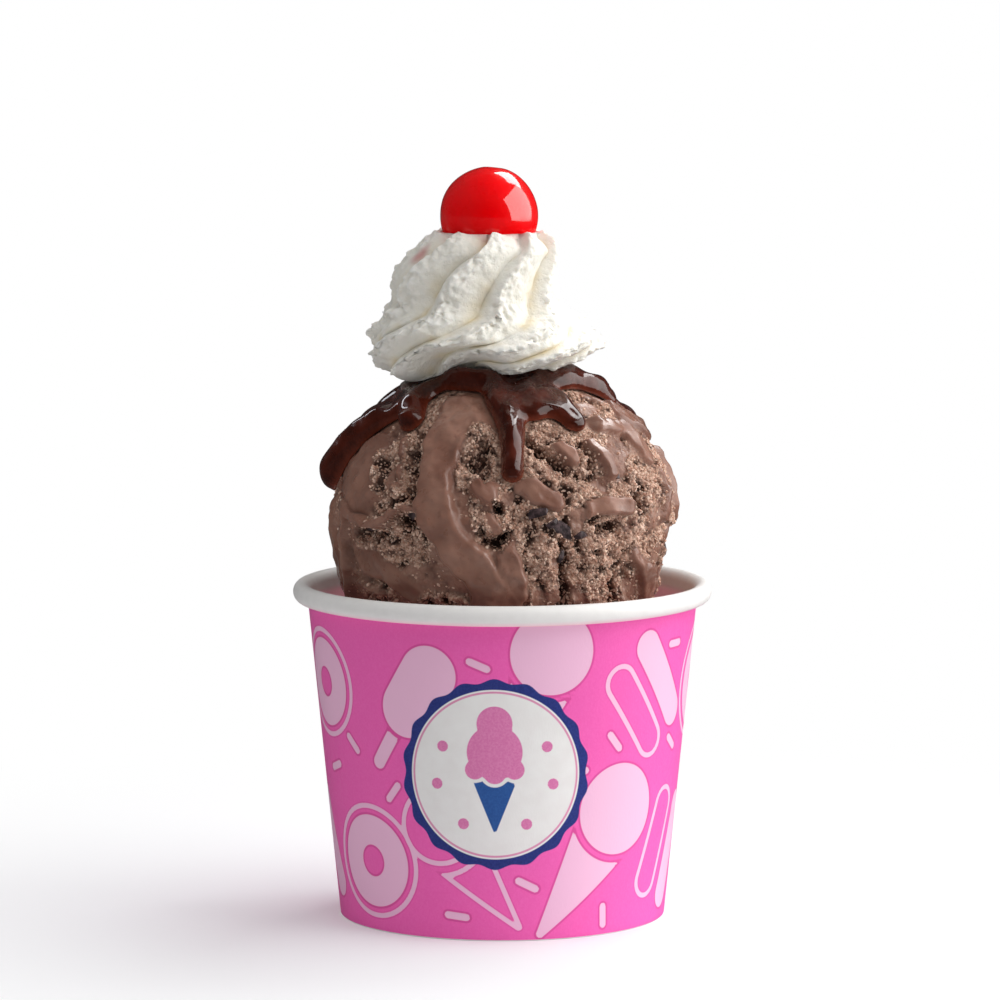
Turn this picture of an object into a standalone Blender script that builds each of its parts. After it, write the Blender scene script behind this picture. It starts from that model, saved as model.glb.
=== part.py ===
# Ice cream sundae: a chocolate scoop in a paper cup, with fudge sauce, piped cream and a cherry.
# Metres, +Z up, the cup's foot on Z = 0 and its axis on the Z axis. The front faces -Y.
# An azimuth is in degrees from the front, growing towards +X.

import math
import random

import bmesh
import bpy
from mathutils import Vector, noise

MM = 0.001
GAP = 0.35 * MM

# Paper cup: a straight sided wall, a rolled rim, and a foot folded up round the floor's flange
WALL_STEPS = 60
FOOT_RADIUS = 33.4 * MM
WALL_TOP_RADIUS = 39.85 * MM
WALL_TOP_Z = 64.0 * MM
PAPER = 0.6 * MM
RIM_CENTRE = (41.2 * MM, 66.9 * MM)
RIM_HALF_WIDTH = 1.8 * MM
RIM_HALF_HEIGHT = 2.0 * MM
RIM_FROM_DEG = 180
RIM_TO_DEG = -125
RIM_POINTS = 11
FOOT_EDGE = 0.25 * MM
FOOT_FOLD_DEPTH = 2.2 * MM
FOOT_FOLD_HEIGHT = 5.2 * MM
FOOT_PLY = 0.5 * MM
SLOT_FLOOR_Z = 0.9 * MM
FLANGE_INSET = 0.95 * MM
FLANGE_PLY = 0.4 * MM
FLANGE_LOW_Z = 1.3 * MM
FLOOR_LOW_Z = 5.6 * MM
FLOOR_TOP_Z = 6.2 * MM

# Ice cream: the scoop above, its neck inside the rim, and the fill that carries it
ICE_STEPS = 76
SCOOP_RINGS = 25
SCOOP_RADIUS = 34.4 * MM
SCOOP_MIDDLE_Z = 84.0 * MM
SCOOP_RISE = 29.0 * MM
SCOOP_DROP = 42.0 * MM
SCOOP_TAPER = 1.7
COVERED_ANGLES = (0, 12, 22)
BARE_ANGLE = 31
NECK_ANGLE = 123
NECK_TURNS = (0.35, 0.7, 1.0)
FILL_SHOULDER_Z = 50.0 * MM
FILL_LOW_Z = FLOOR_TOP_Z + GAP
RELIEF_FROM_Z = 55.0 * MM
RELIEF_FULL_Z = 62.0 * MM

# Fudge sauce: a cap on the scoop that runs down in drips
SAUCE_CELL = 2.6 * MM
SAUCE_REACH = 62.0 * MM
SAUCE_THICK = 1.8 * MM
SAUCE_DRIP_THICK = 0.8 * MM
SAUCE_RIM_THICK = 0.4 * MM
SAUCE_EDGE = 2.4 * MM
SAUCE_BLEND = 2.2 * MM
SAUCE_CAP_RADIUS = 16.5 * MM
SAUCE_CLEAR = 0.1 * MM

# Piped cream: two tiers of spiral ridges on a slightly leaning axis
CREAM_RIDGES = 9
CREAM_STEPS_PER_RIDGE = 7
CREAM_RIDGE_LEAN = 0.36
CREAM_REST = 3.0 * MM
CREAM_WAIST_Z = 124.5 * MM
CREAM_LOW_TWIST = 92.0
CREAM_HIGH_TWIST = 34.0
CREAM_LOW_DEPTH = 2.6 * MM
CREAM_HIGH_DEPTH = 3.6 * MM
CREAM_LIP_Z = 141.2 * MM
CREAM_LIP_DIP = 2.2 * MM
CREAM_LOW_Z = 110.8 * MM
CREAM_EDGE = 0.2 * MM
CREAM_BASE_LIFT = 1.2 * MM
CREAM_BASE_TILT = 0.06
CREAM_WAVE_DEG = -28
CREAM_WAVE_SPREAD_DEG = 26
CREAM_WAVE_RISE = 2.8 * MM

# Cherry, pressed into the crown
CHERRY_RADIUS = 10.1 * MM
CHERRY_CENTRE = (-2.7 * MM, 0.0, 143.9 * MM)
CHERRY_BED_DEG = 70
CHERRY_SEGMENTS = 24
CHERRY_RINGS = 14

# Runs of sauce from under the cream, each a chain of azimuth, height and half width in millimetres
SAUCE_RUNS = (
    ((-66, 108.5, 5.0), (-72, 105, 6.0), (-78, 101.5, 5.0), (-85, 96.5, 4.6), (-88, 91.5, 4.2)),
    ((-64, 108.8, 4.4), (-54, 105.6, 3.2), (-47, 103.2, 2.9)),
    ((0, 110, 4.2), (3, 105.8, 3.5), (4, 102.5, 2.8), (4, 98.5, 2.3), (3.5, 94.4, 2.3)),
    ((8, 108, 5.5), (16, 106, 3.6), (28, 107, 4.2)),
    ((30, 107, 3.6), (35, 103.4, 2.8)),
    ((48, 111, 4.0), (66, 110.5, 3.6), (80, 109, 3.6), (93, 106.5, 3.2)),
    ((112, 109, 5.5), (114, 98.5, 2.5)),
    ((128, 108.5, 6.0), (146, 107, 6.0)),
    ((163, 109, 5.0), (165, 102, 3.6), (166, 94.5, 2.7)),
    ((180, 109, 6.0), (204, 107.5, 6.5)),
    ((216, 109, 5.0), (214, 97.5, 2.8)),
    ((236, 109, 6.0), (250, 104, 5.0), (254, 101.5, 4.2)),
    ((268, 109, 5.5), (290, 108.5, 6.0)),
)

# Where a run gathers: azimuth, height, half width and lift
SAUCE_SWELLS = (
    ((-76, 101, 6.0, 0.8), (-84, 96, 7.0, 1.7), (-88, 92, 6.5, 2.0)),
    ((50, 110.5, 4.5, 1.0), (66, 109.5, 5.0, 1.6), (84, 108.0, 4.0, 1.0)),
)

# Melted lobes that stand out of the scoop, each a chain of
# azimuth, height, half width and lift, sizes in millimetres
LOBES = {
    "left oval": ((-62, 94, 7.0, 2.0), (-57, 89, 8.0, 2.4)),
    "left oval lip": ((-64, 83.5, 2.2, 1.6), (-46, 83.0, 2.4, 1.9), (-31, 86.5, 2.0, 1.4)),
    "centre lobe": (
        (-22, 104, 4.6, 2.2),
        (-24, 99, 6.0, 2.6),
        (-24, 92, 5.2, 2.8),
        (-20, 85, 4.6, 2.6),
        (-13, 78, 3.8, 2.2),
        (-9, 70, 3.2, 1.6),
    ),
    "centre toe": ((-3, 77, 3.4, 1.6), (2, 71, 4.2, 1.4)),
    "pocket nub": ((-7, 91.5, 3.0, 2.0),),
    "middle patch": ((8, 90, 3.8, 1.0), (22, 91, 3.8, 1.2)),
    "right nub": ((40, 100, 2.4, 1.8), (42, 94.5, 2.8, 2.4)),
    "right patch": ((34, 86, 3.2, 1.6), (47, 84.5, 3.6, 1.9)),
    "right hanging melt": ((55, 76, 3.2, 1.6), (62, 67, 4.0, 2.0)),
    "right shoulder": ((44, 101, 3.4, 1.4), (60, 99, 3.6, 1.2)),
    "right top edge": ((76, 104, 4.6, 1.3), (86, 99.5, 4.8, 1.9)),
    "left skirt": ((-66, 71, 4.4, 1.2), (-42, 70, 5.2, 1.4), (-21, 72, 4.4, 1.2)),
    "left edge melt": ((-84, 85, 2.4, 1.2), (-80, 78, 2.4, 1.4), (-74, 70, 2.6, 1.2)),
}
POCKETS = {
    "left groove": ((-38, 96, 2.8, -2.0), (-37, 89, 2.8, -2.2)),
    "centre pocket": ((-10, 99, 3.2, -1.6), (-10, 94, 3.4, -1.8)),
    "right hollow": ((13, 98, 3.0, -2.4), (19, 96, 3.0, -1.8)),
    "low hole": ((-5, 80.5, 2.2, -1.6),),
    "left hole": ((-29, 84.5, 2.2, -1.6),),
}
# Where the scoop is flatter than round
FLATS = {
    "right side": ((88, 88, 10.0, -1.0), (90, 77, 12.0, -1.3)),
}
BACK_LOBES = 10
BACK_FROM_DEG = 100
BACK_TO_DEG = 262
BACK_SEED = 14
CRAG_SIZE = 7.0 * MM
CRAG_DEPTH = 2.2 * MM
LUMP_SIZE = 22.0 * MM
LUMP_DEPTH = 1.0 * MM


def clamp(value, low=0.0, high=1.0):
    return max(low, min(high, value))


def smooth_step(low, high, value):
    t = clamp((value - low) / (high - low))
    return t * t * (3 - 2 * t)


def mix(a, b, share):
    return a + (b - a) * share


# Scene, materials and shared shapes


def clear_scene():
    for obj in list(bpy.data.objects):
        bpy.data.objects.remove(obj, do_unlink=True)


def new_collection(name):
    collection = bpy.data.collections.new(name)
    bpy.context.scene.collection.children.link(collection)
    return collection


def new_material(name, color, roughness, subsurface=0.0):
    material = bpy.data.materials.new(name)
    material.use_nodes = True
    shader = material.node_tree.nodes["Principled BSDF"]
    shader.inputs["Base Color"].default_value = (*color, 1.0)
    shader.inputs["Roughness"].default_value = roughness
    shader.inputs["Metallic"].default_value = 0.0
    shader.inputs["Subsurface Weight"].default_value = subsurface
    material.diffuse_color = (*color, 1.0)
    return material


def turned_mesh(name, profile, steps, closed=False):
    """A mesh turned round Z from (radius, height) points that run down the outer side."""
    count = len(profile)
    edges = [(i, i + 1) for i in range(count - 1)]
    if closed:
        edges.append((count - 1, 0))
    outline = bpy.data.meshes.new(name + "_outline")
    outline.from_pydata([(radius, 0.0, height) for radius, height in profile], edges, [])
    turner = bpy.data.objects.new(name + "_turner", outline)
    bpy.context.scene.collection.objects.link(turner)
    screw = turner.modifiers.new("Turn", "SCREW")
    screw.axis = "Z"
    screw.steps = steps
    screw.render_steps = steps
    screw.use_merge_vertices = True
    screw.merge_threshold = 0.00001
    graph = bpy.context.evaluated_depsgraph_get()
    mesh = bpy.data.meshes.new_from_object(turner.evaluated_get(graph))
    mesh.name = name
    bpy.data.objects.remove(turner, do_unlink=True)
    bpy.data.meshes.remove(outline)
    face_out(mesh)
    return mesh


def face_out(mesh):
    shape = bmesh.new()
    shape.from_mesh(mesh)
    bmesh.ops.recalc_face_normals(shape, faces=shape.faces)
    if shape.calc_volume(signed=True) < 0:
        bmesh.ops.reverse_faces(shape, faces=shape.faces)
    shape.to_mesh(mesh)
    shape.free()


def add_part(name, mesh, material, collection, sharp_deg=180):
    part = bpy.data.objects.new(name, mesh)
    collection.objects.link(part)
    mesh.materials.clear()
    mesh.materials.append(material)
    mesh.shade_smooth()
    if sharp_deg < 180:
        mesh.set_sharp_from_angle(angle=math.radians(sharp_deg))
    return part


# Paper cup


def wall_radius(z, inset=0.0):
    slope = (WALL_TOP_RADIUS - FOOT_RADIUS) / WALL_TOP_Z
    return FOOT_RADIUS + slope * z - inset


def wall_point(z, inset=0.0):
    return (wall_radius(z, inset), z)


def rim_points():
    points = []
    for i in range(RIM_POINTS):
        turn = math.radians(mix(RIM_FROM_DEG, RIM_TO_DEG, i / (RIM_POINTS - 1)))
        radius = RIM_CENTRE[0] + RIM_HALF_WIDTH * math.cos(turn)
        points.append((radius, RIM_CENTRE[1] + RIM_HALF_HEIGHT * math.sin(turn)))
    return points


def sleeve_profile():
    fold_slot = FOOT_FOLD_DEPTH - FOOT_PLY
    foot = [
        wall_point(WALL_TOP_Z + PAPER),
        wall_point(WALL_TOP_Z / 2),
        wall_point(FOOT_EDGE),
        (wall_radius(0.0, FOOT_EDGE), 0.0),
        (wall_radius(0.0, FOOT_FOLD_DEPTH - FOOT_EDGE), 0.0),
        wall_point(FOOT_EDGE, FOOT_FOLD_DEPTH),
        wall_point(FOOT_FOLD_HEIGHT, FOOT_FOLD_DEPTH),
        wall_point(FOOT_FOLD_HEIGHT, fold_slot),
        wall_point(SLOT_FLOOR_Z, fold_slot),
        wall_point(SLOT_FLOOR_Z, PAPER),
        wall_point(WALL_TOP_Z / 2, PAPER),
        wall_point(WALL_TOP_Z, PAPER),
    ]
    return rim_points() + foot


def floor_profile():
    return [
        (0.0, FLOOR_TOP_Z),
        wall_point(FLOOR_TOP_Z, FLANGE_INSET),
        wall_point(FLANGE_LOW_Z, FLANGE_INSET),
        wall_point(FLANGE_LOW_Z, FLANGE_INSET + FLANGE_PLY),
        wall_point(FLOOR_LOW_Z, FLANGE_INSET + FLANGE_PLY),
        (0.0, FLOOR_LOW_Z),
    ]


# Scoop surface, on the polar angle theta from its top


def scoop_section(theta_deg, lift=0.0):
    """Radius and height of the plain scoop at theta, moved out by lift along its normal."""
    theta = math.radians(theta_deg)
    sine, cosine = math.sin(theta), math.cos(theta)
    radius = SCOOP_RADIUS * sine
    if cosine >= 0:
        power = 2 / SCOOP_TAPER
        height = SCOOP_MIDDLE_Z + SCOOP_RISE * cosine**power
        fall = SCOOP_RISE * power * max(cosine, 1e-6) ** (power - 1) * sine
    else:
        height = SCOOP_MIDDLE_Z + SCOOP_DROP * cosine
        fall = SCOOP_DROP * sine
    across = SCOOP_RADIUS * cosine
    length = math.hypot(fall, across)
    return radius + lift * fall / length, height + lift * across / length


def theta_at(z):
    rise = (z - SCOOP_MIDDLE_Z) / SCOOP_RISE
    if rise >= 0:
        return math.degrees(math.acos(clamp(rise) ** (SCOOP_TAPER / 2)))
    return math.degrees(math.acos(clamp((z - SCOOP_MIDDLE_Z) / SCOOP_DROP, -1.0, 0.0)))


def turn_to(azimuth_deg, radius, height):
    azimuth = math.radians(azimuth_deg)
    return Vector((radius * math.sin(azimuth), -radius * math.cos(azimuth), height))


def scoop_point(azimuth_deg, theta_deg, lift=0.0):
    return turn_to(azimuth_deg, *scoop_section(theta_deg, lift))


def azimuth_of(point):
    return math.degrees(math.atan2(point.x, -point.y))


# Chains of points on the scoop, which place the runs of sauce and the melted lobes


def chain_on_scoop(chain):
    """Each node's point on the scoop, then its sizes in metres."""
    return [
        (scoop_point(azimuth, theta_at(height * MM)), *[size * MM for size in sizes])
        for azimuth, height, *sizes in chain
    ]


def nearest_on(point, nodes):
    """How far a point is from the chain's middle line, and the chain's sizes there."""
    best = None
    for (start, *start_sizes), (end, *end_sizes) in list(zip(nodes, nodes[1:])) or [nodes * 2]:
        along = end - start
        share = clamp((point - start).dot(along) / along.length_squared) if along.length else 0.0
        apart = (point - start - along * share).length
        sizes = [mix(a, b, share) for a, b in zip(start_sizes, end_sizes)]
        if best is None or apart - sizes[0] < best[0] - best[1][0]:
            best = (apart, sizes)
    return best


# Sauce


def sauce_outside(point, runs):
    """Distance outside the sauce's edge, negative within it."""
    field = math.hypot(point.x, point.y) - SAUCE_CAP_RADIUS
    for nodes in runs:
        apart, (width,) = nearest_on(point, nodes)
        other = apart - width
        blend = clamp(1 - abs(field - other) / SAUCE_BLEND)
        field = min(field, other) - blend * blend * SAUCE_BLEND / 4
    return field


def unrolled(x, y, lift=0.0):
    """The scoop's surface on a plane, where distances from its top stay true."""
    azimuth = math.degrees(math.atan2(x, -y))
    return scoop_point(azimuth, math.degrees(math.hypot(x, y) / SCOOP_RADIUS), lift)


def pulled_to_edge(x, y, runs):
    """A plane point moved onto the sauce's edge where it lies within half a cell of it."""
    step = 0.1 * MM
    for _ in range(4):
        outside = sauce_outside(unrolled(x, y), runs)
        if abs(outside) > SAUCE_CELL / 2:
            break
        slope = Vector((
            sauce_outside(unrolled(x + step, y), runs) - outside,
            sauce_outside(unrolled(x, y + step), runs) - outside,
        )) / step
        x, y = Vector((x, y)) - slope * (outside / max(slope.length_squared, 0.2))
    return x, y


def sauce_thickness(point, outside):
    """Full inside, rounded down to nothing at the edge, and fuller low on the scoop."""
    full = SAUCE_THICK + SAUCE_DRIP_THICK * (1 - smooth_step(94 * MM, 106 * MM, point.z))
    swell = max(chain_lift(point, chain_on_scoop(chain)) for chain in SAUCE_SWELLS)
    full += swell
    inward = clamp(1 + outside / (SAUCE_EDGE + swell))
    return full * math.sqrt(1 - inward**2)


def sauce_outline(runs):
    """The sauce as a flat triangle grid whose rim lies on the sauce's edge."""
    shape = bmesh.new()
    cells = round(2 * SAUCE_REACH / SAUCE_CELL)
    bmesh.ops.create_grid(shape, x_segments=cells, y_segments=cells, size=SAUCE_REACH)
    for vertex in shape.verts:
        vertex.co.x += vertex.co.y / 2
        vertex.co.y *= math.sqrt(3) / 2
    bmesh.ops.triangulate(shape, faces=shape.faces, quad_method="SHORT_EDGE")
    far = [v for v in shape.verts if v.co.length > SAUCE_REACH]
    bmesh.ops.delete(shape, geom=far, context="VERTS")
    for vertex in shape.verts:
        vertex.co.x, vertex.co.y = pulled_to_edge(vertex.co.x, vertex.co.y, runs)
    tiny = 0.02 * MM
    outer = [v for v in shape.verts if sauce_outside(unrolled(v.co.x, v.co.y), runs) > tiny]
    bmesh.ops.delete(shape, geom=outer, context="VERTS")
    flat = []
    for face in shape.faces:
        middle = face.calc_center_median()
        if sauce_outside(unrolled(middle.x, middle.y), runs) > -tiny:
            flat.append(face)
    bmesh.ops.delete(shape, geom=flat, context="FACES")
    rim = {v for v in shape.verts if v.is_boundary}
    across = [e for e in shape.edges if not e.is_boundary and rim.issuperset(e.verts)]
    bmesh.ops.subdivide_edges(shape, edges=across, cuts=1)
    bmesh.ops.triangulate(shape, faces=shape.faces)
    return shape


def sauce_mesh():
    runs = [chain_on_scoop(run) for run in SAUCE_RUNS]
    shape = sauce_outline(runs)
    lower = list(shape.verts)
    rim = {(v.co.x, v.co.y) for v in lower if v.is_boundary}
    made = bmesh.ops.extrude_face_region(shape, geom=list(shape.faces), use_keep_orig=True)
    upper = [item for item in made["geom"] if isinstance(item, bmesh.types.BMVert)]
    rest = GAP + SAUCE_CLEAR
    for vertex in upper:
        x, y = vertex.co.x, vertex.co.y
        point = unrolled(x, y)
        inner = 0.0 if (x, y) in rim else sauce_thickness(point, sauce_outside(point, runs))
        vertex.co = unrolled(x, y, rest + max(inner, SAUCE_RIM_THICK))
    for vertex in lower:
        vertex.co = unrolled(vertex.co.x, vertex.co.y, rest)
    mesh = bpy.data.meshes.new("fudge_sauce")
    shape.to_mesh(mesh)
    shape.free()
    face_out(mesh)
    return mesh


# Ice cream


def chain_lift(point, nodes):
    """How far a rounded lobe along the chain stands out at a point of the plain scoop."""
    apart, (width, lift) = nearest_on(point, nodes)
    return lift * (1 - smooth_step(0.35, 1.25, apart / width))


def back_lobes():
    """Lobes on the side away from the front, as uneven as the ones that show."""
    draw = random.Random(BACK_SEED)
    chains = []
    for i in range(BACK_LOBES):
        azimuth = mix(BACK_FROM_DEG, BACK_TO_DEG, (i + draw.uniform(0.2, 0.8)) / BACK_LOBES)
        height = draw.uniform(72, 98)
        width = draw.uniform(3.2, 6.4)
        lift = draw.uniform(1.3, 2.6)
        tail = (azimuth + draw.uniform(-9, 9), height - draw.uniform(5, 13), width * 0.8, lift)
        chains.append(((azimuth, height, width, lift), tail))
    return chains


def all_chains():
    chains = list(LOBES.values()) + list(POCKETS.values()) + back_lobes()
    return [chain_on_scoop(chain) for chain in chains]


def scoop_relief(point, chains, flats):
    """How far the ice cream stands out of the plain scoop at a point of it."""
    lift = LUMP_DEPTH * noise.noise(point / LUMP_SIZE)
    lift += sum(chain_lift(point, nodes) for nodes in flats)
    craggy = CRAG_DEPTH * noise.noise(point / CRAG_SIZE + Vector((3.1, 7.7, 1.3)))
    raised = max((chain_lift(point, nodes) for nodes in chains), default=0.0)
    sunk = min((chain_lift(point, nodes) for nodes in chains), default=0.0)
    lobes = raised if raised > -sunk else sunk
    lift += lobes + craggy * (1 - clamp(abs(lobes) / MM))
    return lift


def ice_profile():
    thetas = list(COVERED_ANGLES)
    thetas += [mix(BARE_ANGLE, NECK_ANGLE, i / SCOOP_RINGS) for i in range(SCOOP_RINGS + 1)]
    points = [scoop_section(theta) for theta in thetas]
    neck_radius, neck_z = points[-1]
    inset = PAPER + GAP
    shoulder_radius = wall_radius(FILL_SHOULDER_Z, inset)
    for share in NECK_TURNS:
        turn = share * math.pi / 2
        radius = mix(neck_radius, shoulder_radius, math.sin(turn) ** 1.2)
        points.append((radius, mix(FILL_SHOULDER_Z, neck_z, math.cos(turn))))
    points += [
        wall_point(mix(FILL_LOW_Z, FILL_SHOULDER_Z, 0.5), inset),
        wall_point(FILL_LOW_Z + 2 * MM, inset),
        (wall_radius(FILL_LOW_Z, FOOT_FOLD_DEPTH), FILL_LOW_Z),
        (0.0, FILL_LOW_Z),
    ]
    return points


def ice_mesh():
    mesh = turned_mesh("ice_cream", ice_profile(), ICE_STEPS)
    chains = all_chains()
    flats = [chain_on_scoop(chain) for chain in FLATS.values()]
    runs = [chain_on_scoop(run) for run in SAUCE_RUNS]
    for vertex in mesh.vertices:
        if vertex.co.z < RELIEF_FROM_Z:
            continue
        azimuth = azimuth_of(vertex.co)
        theta = theta_at(vertex.co.z)
        point = scoop_point(azimuth, theta)
        fade = smooth_step(RELIEF_FROM_Z, RELIEF_FULL_Z, vertex.co.z)
        fade *= smooth_step(2 * MM, 5.5 * MM, sauce_outside(point, runs))
        vertex.co = scoop_point(azimuth, theta, fade * scoop_relief(point, chains, flats))
    return mesh


# Piped cream


def cream_axis_x(z):
    low = 1 - smooth_step(111 * MM, 116 * MM, z)
    lean = smooth_step(114 * MM, 129 * MM, z)
    back = smooth_step(131 * MM, 140 * MM, z)
    return (-2.9 - 1.7 * low - 2.7 * lean + 2.9 * back) * MM


def cream_side():
    """The cream's outer side from the crown's lip down, as radius and height."""
    side = (
        (11.2, 141.2), (13.4, 139.6), (15.4, 137.0), (16.8, 134.0), (17.5, 131.0), (17.8, 128.2),
        (18.1, 126.4), (19.4, 124.6), (21.6, 122.6), (23.2, 120.4), (24.4, 118.0), (24.3, 116.0),
        (23.1, 114.2), (20.6, 112.4), (17.0, 110.8),
    )
    return [(radius * MM, height * MM) for radius, height in side]


def cream_profile():
    """From the bowl under the cherry, over the crown, down the side and back below."""
    bowl_radius = CHERRY_RADIUS + GAP
    bowl = []
    for share in (0.0, 0.42, 0.76, 1.0):
        turn = math.radians(share * CHERRY_BED_DEG)
        bowl.append((bowl_radius * math.sin(turn), CHERRY_CENTRE[2] - bowl_radius * math.cos(turn)))
    below = [(12.0 * MM, 0.0), (6.0 * MM, 0.0), (0.0, 0.0)]
    return bowl + cream_side() + below


def rest_height(x, y):
    """Height of the cream's underside, which lies on the sauce."""
    radius = math.hypot(x, y)
    theta = math.degrees(math.asin(clamp(radius / (SCOOP_RADIUS + CREAM_REST))))
    return scoop_section(theta, CREAM_REST)[1]


def cream_twist(z):
    """Turn of the ridges in degrees at a height: slow round the base, steep in the crown."""
    low = (min(z, CREAM_WAIST_Z) - CREAM_WAIST_Z) / (15 * MM)
    high = max(z - CREAM_WAIST_Z, 0.0) / (15 * MM)
    return CREAM_LOW_TWIST * low + CREAM_HIGH_TWIST * high


def ridge_depth(turned_deg):
    """0 on the crest of a ridge and 1 in the crease beside it; the ridges lean to one side."""
    turns = (turned_deg * CREAM_RIDGES / 360) % 1.0
    if turns < CREAM_RIDGE_LEAN:
        return (1 - turns / CREAM_RIDGE_LEAN) ** 1.2
    return ((turns - CREAM_RIDGE_LEAN) / (1 - CREAM_RIDGE_LEAN)) ** 1.6


def cream_mesh():
    """The columns of points wind with the ridges, so that each crest is one row of edges.
    The base stands clear of the sauce in front and to the right, and droops to the left."""
    mesh = turned_mesh("whipped_cream", cream_profile(), CREAM_RIDGES * CREAM_STEPS_PER_RIDGE)
    bowl_reach = CHERRY_RADIUS + GAP
    for vertex in mesh.vertices:
        radius = math.hypot(vertex.co.x, vertex.co.y)
        column = azimuth_of(vertex.co)
        z = vertex.co.z
        if z < 1 * MM:
            moved = turn_to(column + cream_twist(CREAM_LOW_Z), radius, 0.0)
            moved.x += cream_axis_x(CREAM_LOW_Z)
            moved.z = rest_height(moved.x, moved.y)
        elif radius < bowl_reach and z < CHERRY_CENTRE[2]:
            moved = turn_to(column + cream_twist(CREAM_LIP_Z), radius, z)
            moved.x += CHERRY_CENTRE[0]
        else:
            depth = mix(CREAM_LOW_DEPTH, CREAM_HIGH_DEPTH, smooth_step(120 * MM, 132 * MM, z))
            lip = smooth_step(134 * MM, CREAM_LIP_Z, z)
            crease = ridge_depth(column)
            carved = radius - depth * crease * mix(1.0, 0.35, lip)
            moved = turn_to(column + cream_twist(z), carved, z - lip * CREAM_LIP_DIP * crease)
            moved.x += cream_axis_x(z)
            base = 1 - smooth_step(113 * MM, 121 * MM, z)
            moved.z += base * max(CREAM_BASE_LIFT + CREAM_BASE_TILT * moved.x, 0.0)
            apart = (azimuth_of(moved) - CREAM_WAVE_DEG + 180) % 360 - 180
            moved.z += base * CREAM_WAVE_RISE * math.exp(-((apart / CREAM_WAVE_SPREAD_DEG) ** 4))
            moved.z = max(moved.z, rest_height(moved.x, moved.y) + CREAM_EDGE)
        vertex.co = moved
    face_out(mesh)
    return mesh


# Cherry


def cherry_mesh():
    shape = bmesh.new()
    bmesh.ops.create_uvsphere(
        shape, u_segments=CHERRY_SEGMENTS, v_segments=CHERRY_RINGS, radius=CHERRY_RADIUS
    )
    bmesh.ops.translate(shape, verts=shape.verts, vec=Vector(CHERRY_CENTRE))
    mesh = bpy.data.meshes.new("cherry")
    shape.to_mesh(mesh)
    shape.free()
    return mesh


def main():
    clear_scene()
    sundae = new_collection("ice_cream_sundae")
    pink_paper = new_material("pink paper", (0.82, 0.13, 0.44), 0.45)
    white_paper = new_material("white paper", (0.88, 0.86, 0.84), 0.5)
    chocolate = new_material("chocolate ice cream", (0.24, 0.13, 0.095), 0.6, 0.1)
    fudge = new_material("fudge", (0.05, 0.014, 0.01), 0.12)
    cream = new_material("cream", (0.92, 0.90, 0.85), 0.45, 0.3)
    cherry_red = new_material("cherry red", (0.60, 0.0, 0.012), 0.08, 0.2)

    sleeve = turned_mesh("cup_sleeve", sleeve_profile(), WALL_STEPS, closed=True)
    floor = turned_mesh("cup_floor", floor_profile(), WALL_STEPS)
    add_part("cup_sleeve", sleeve, pink_paper, sundae, sharp_deg=40)
    add_part("cup_floor", floor, white_paper, sundae, sharp_deg=40)
    add_part("ice_cream", ice_mesh(), chocolate, sundae)
    add_part("fudge_sauce", sauce_mesh(), fudge, sundae)
    add_part("whipped_cream", cream_mesh(), cream, sundae)
    add_part("cherry", cherry_mesh(), cherry_red, sundae)


main()
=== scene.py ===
import math
import random

import bmesh
import bpy
import numpy as np
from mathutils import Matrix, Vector, noise


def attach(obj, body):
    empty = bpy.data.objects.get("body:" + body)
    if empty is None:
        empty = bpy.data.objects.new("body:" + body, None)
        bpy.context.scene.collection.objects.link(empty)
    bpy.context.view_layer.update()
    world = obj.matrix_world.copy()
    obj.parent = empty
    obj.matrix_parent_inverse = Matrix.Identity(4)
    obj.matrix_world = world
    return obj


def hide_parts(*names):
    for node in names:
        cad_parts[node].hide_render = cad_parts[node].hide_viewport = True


# Chocolate sundae in a paper cup: the looks of every piece.
# Sizes in the dictionaries are in millimetres, and angles in degrees.
# An azimuth is counted from the front (-Y) towards +X.

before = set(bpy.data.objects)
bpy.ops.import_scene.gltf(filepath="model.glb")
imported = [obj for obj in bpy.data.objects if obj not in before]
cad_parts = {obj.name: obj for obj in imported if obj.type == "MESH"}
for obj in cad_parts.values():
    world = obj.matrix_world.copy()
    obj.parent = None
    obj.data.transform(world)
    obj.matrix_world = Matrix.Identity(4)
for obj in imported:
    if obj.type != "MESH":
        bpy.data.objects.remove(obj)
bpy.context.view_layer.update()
mm = 0.001
noise.seed_set(5)  # noise_vector starts from this, and from the clock without it


# Plain maths on arrays

def smoothStep(low, high, value):
    share = np.clip((value - low) / (high - low), 0.0, 1.0)
    return share * share * (3 - 2 * share)


def between(a, b, share):
    return a + (b - a) * share


def noiseAt(points, size, shift=0.0, kind=noise.noise):
    flat = (np.asarray(points).reshape(-1, 3) / size + shift).tolist()
    found = np.array([kind(place) for place in flat])
    return found.reshape(*np.shape(points)[:-1], *found.shape[1:])


def grainsAt(points, size, shift):
    # distance to the nearest grain's middle, in grain sizes
    return noiseAt(points, size, shift, lambda place: noise.voronoi(place)[0][0])


def smoothLine(points, count):
    # points spread evenly along a smooth curve through the given ones
    given = np.array(points, float)
    before = np.vstack([2 * given[0] - given[1], given[:-1]])
    after = np.vstack([given[1:], 2 * given[-1] - given[-2]])
    slope = (after - before) / 2
    dense = []
    for i in range(len(given) - 1):
        t = np.linspace(0, 1, 24, endpoint=False)[:, None]
        dense.append(
            (2 * t**3 - 3 * t**2 + 1) * given[i] + (t**3 - 2 * t**2 + t) * slope[i]
            + (3 * t**2 - 2 * t**3) * given[i + 1] + (t**3 - t**2) * slope[i + 1]
        )
    dense = np.vstack(dense + [given[-1:]])
    run = np.concatenate([[0], np.cumsum(np.hypot(*np.diff(dense, axis=0).T))])
    at = np.linspace(0, run[-1], count)
    return np.stack([np.interp(at, run, dense[:, 0]), np.interp(at, run, dense[:, 1])], axis=-1)


def turnOf(degrees):
    return math.cos(math.radians(degrees)), math.sin(math.radians(degrees))


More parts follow.
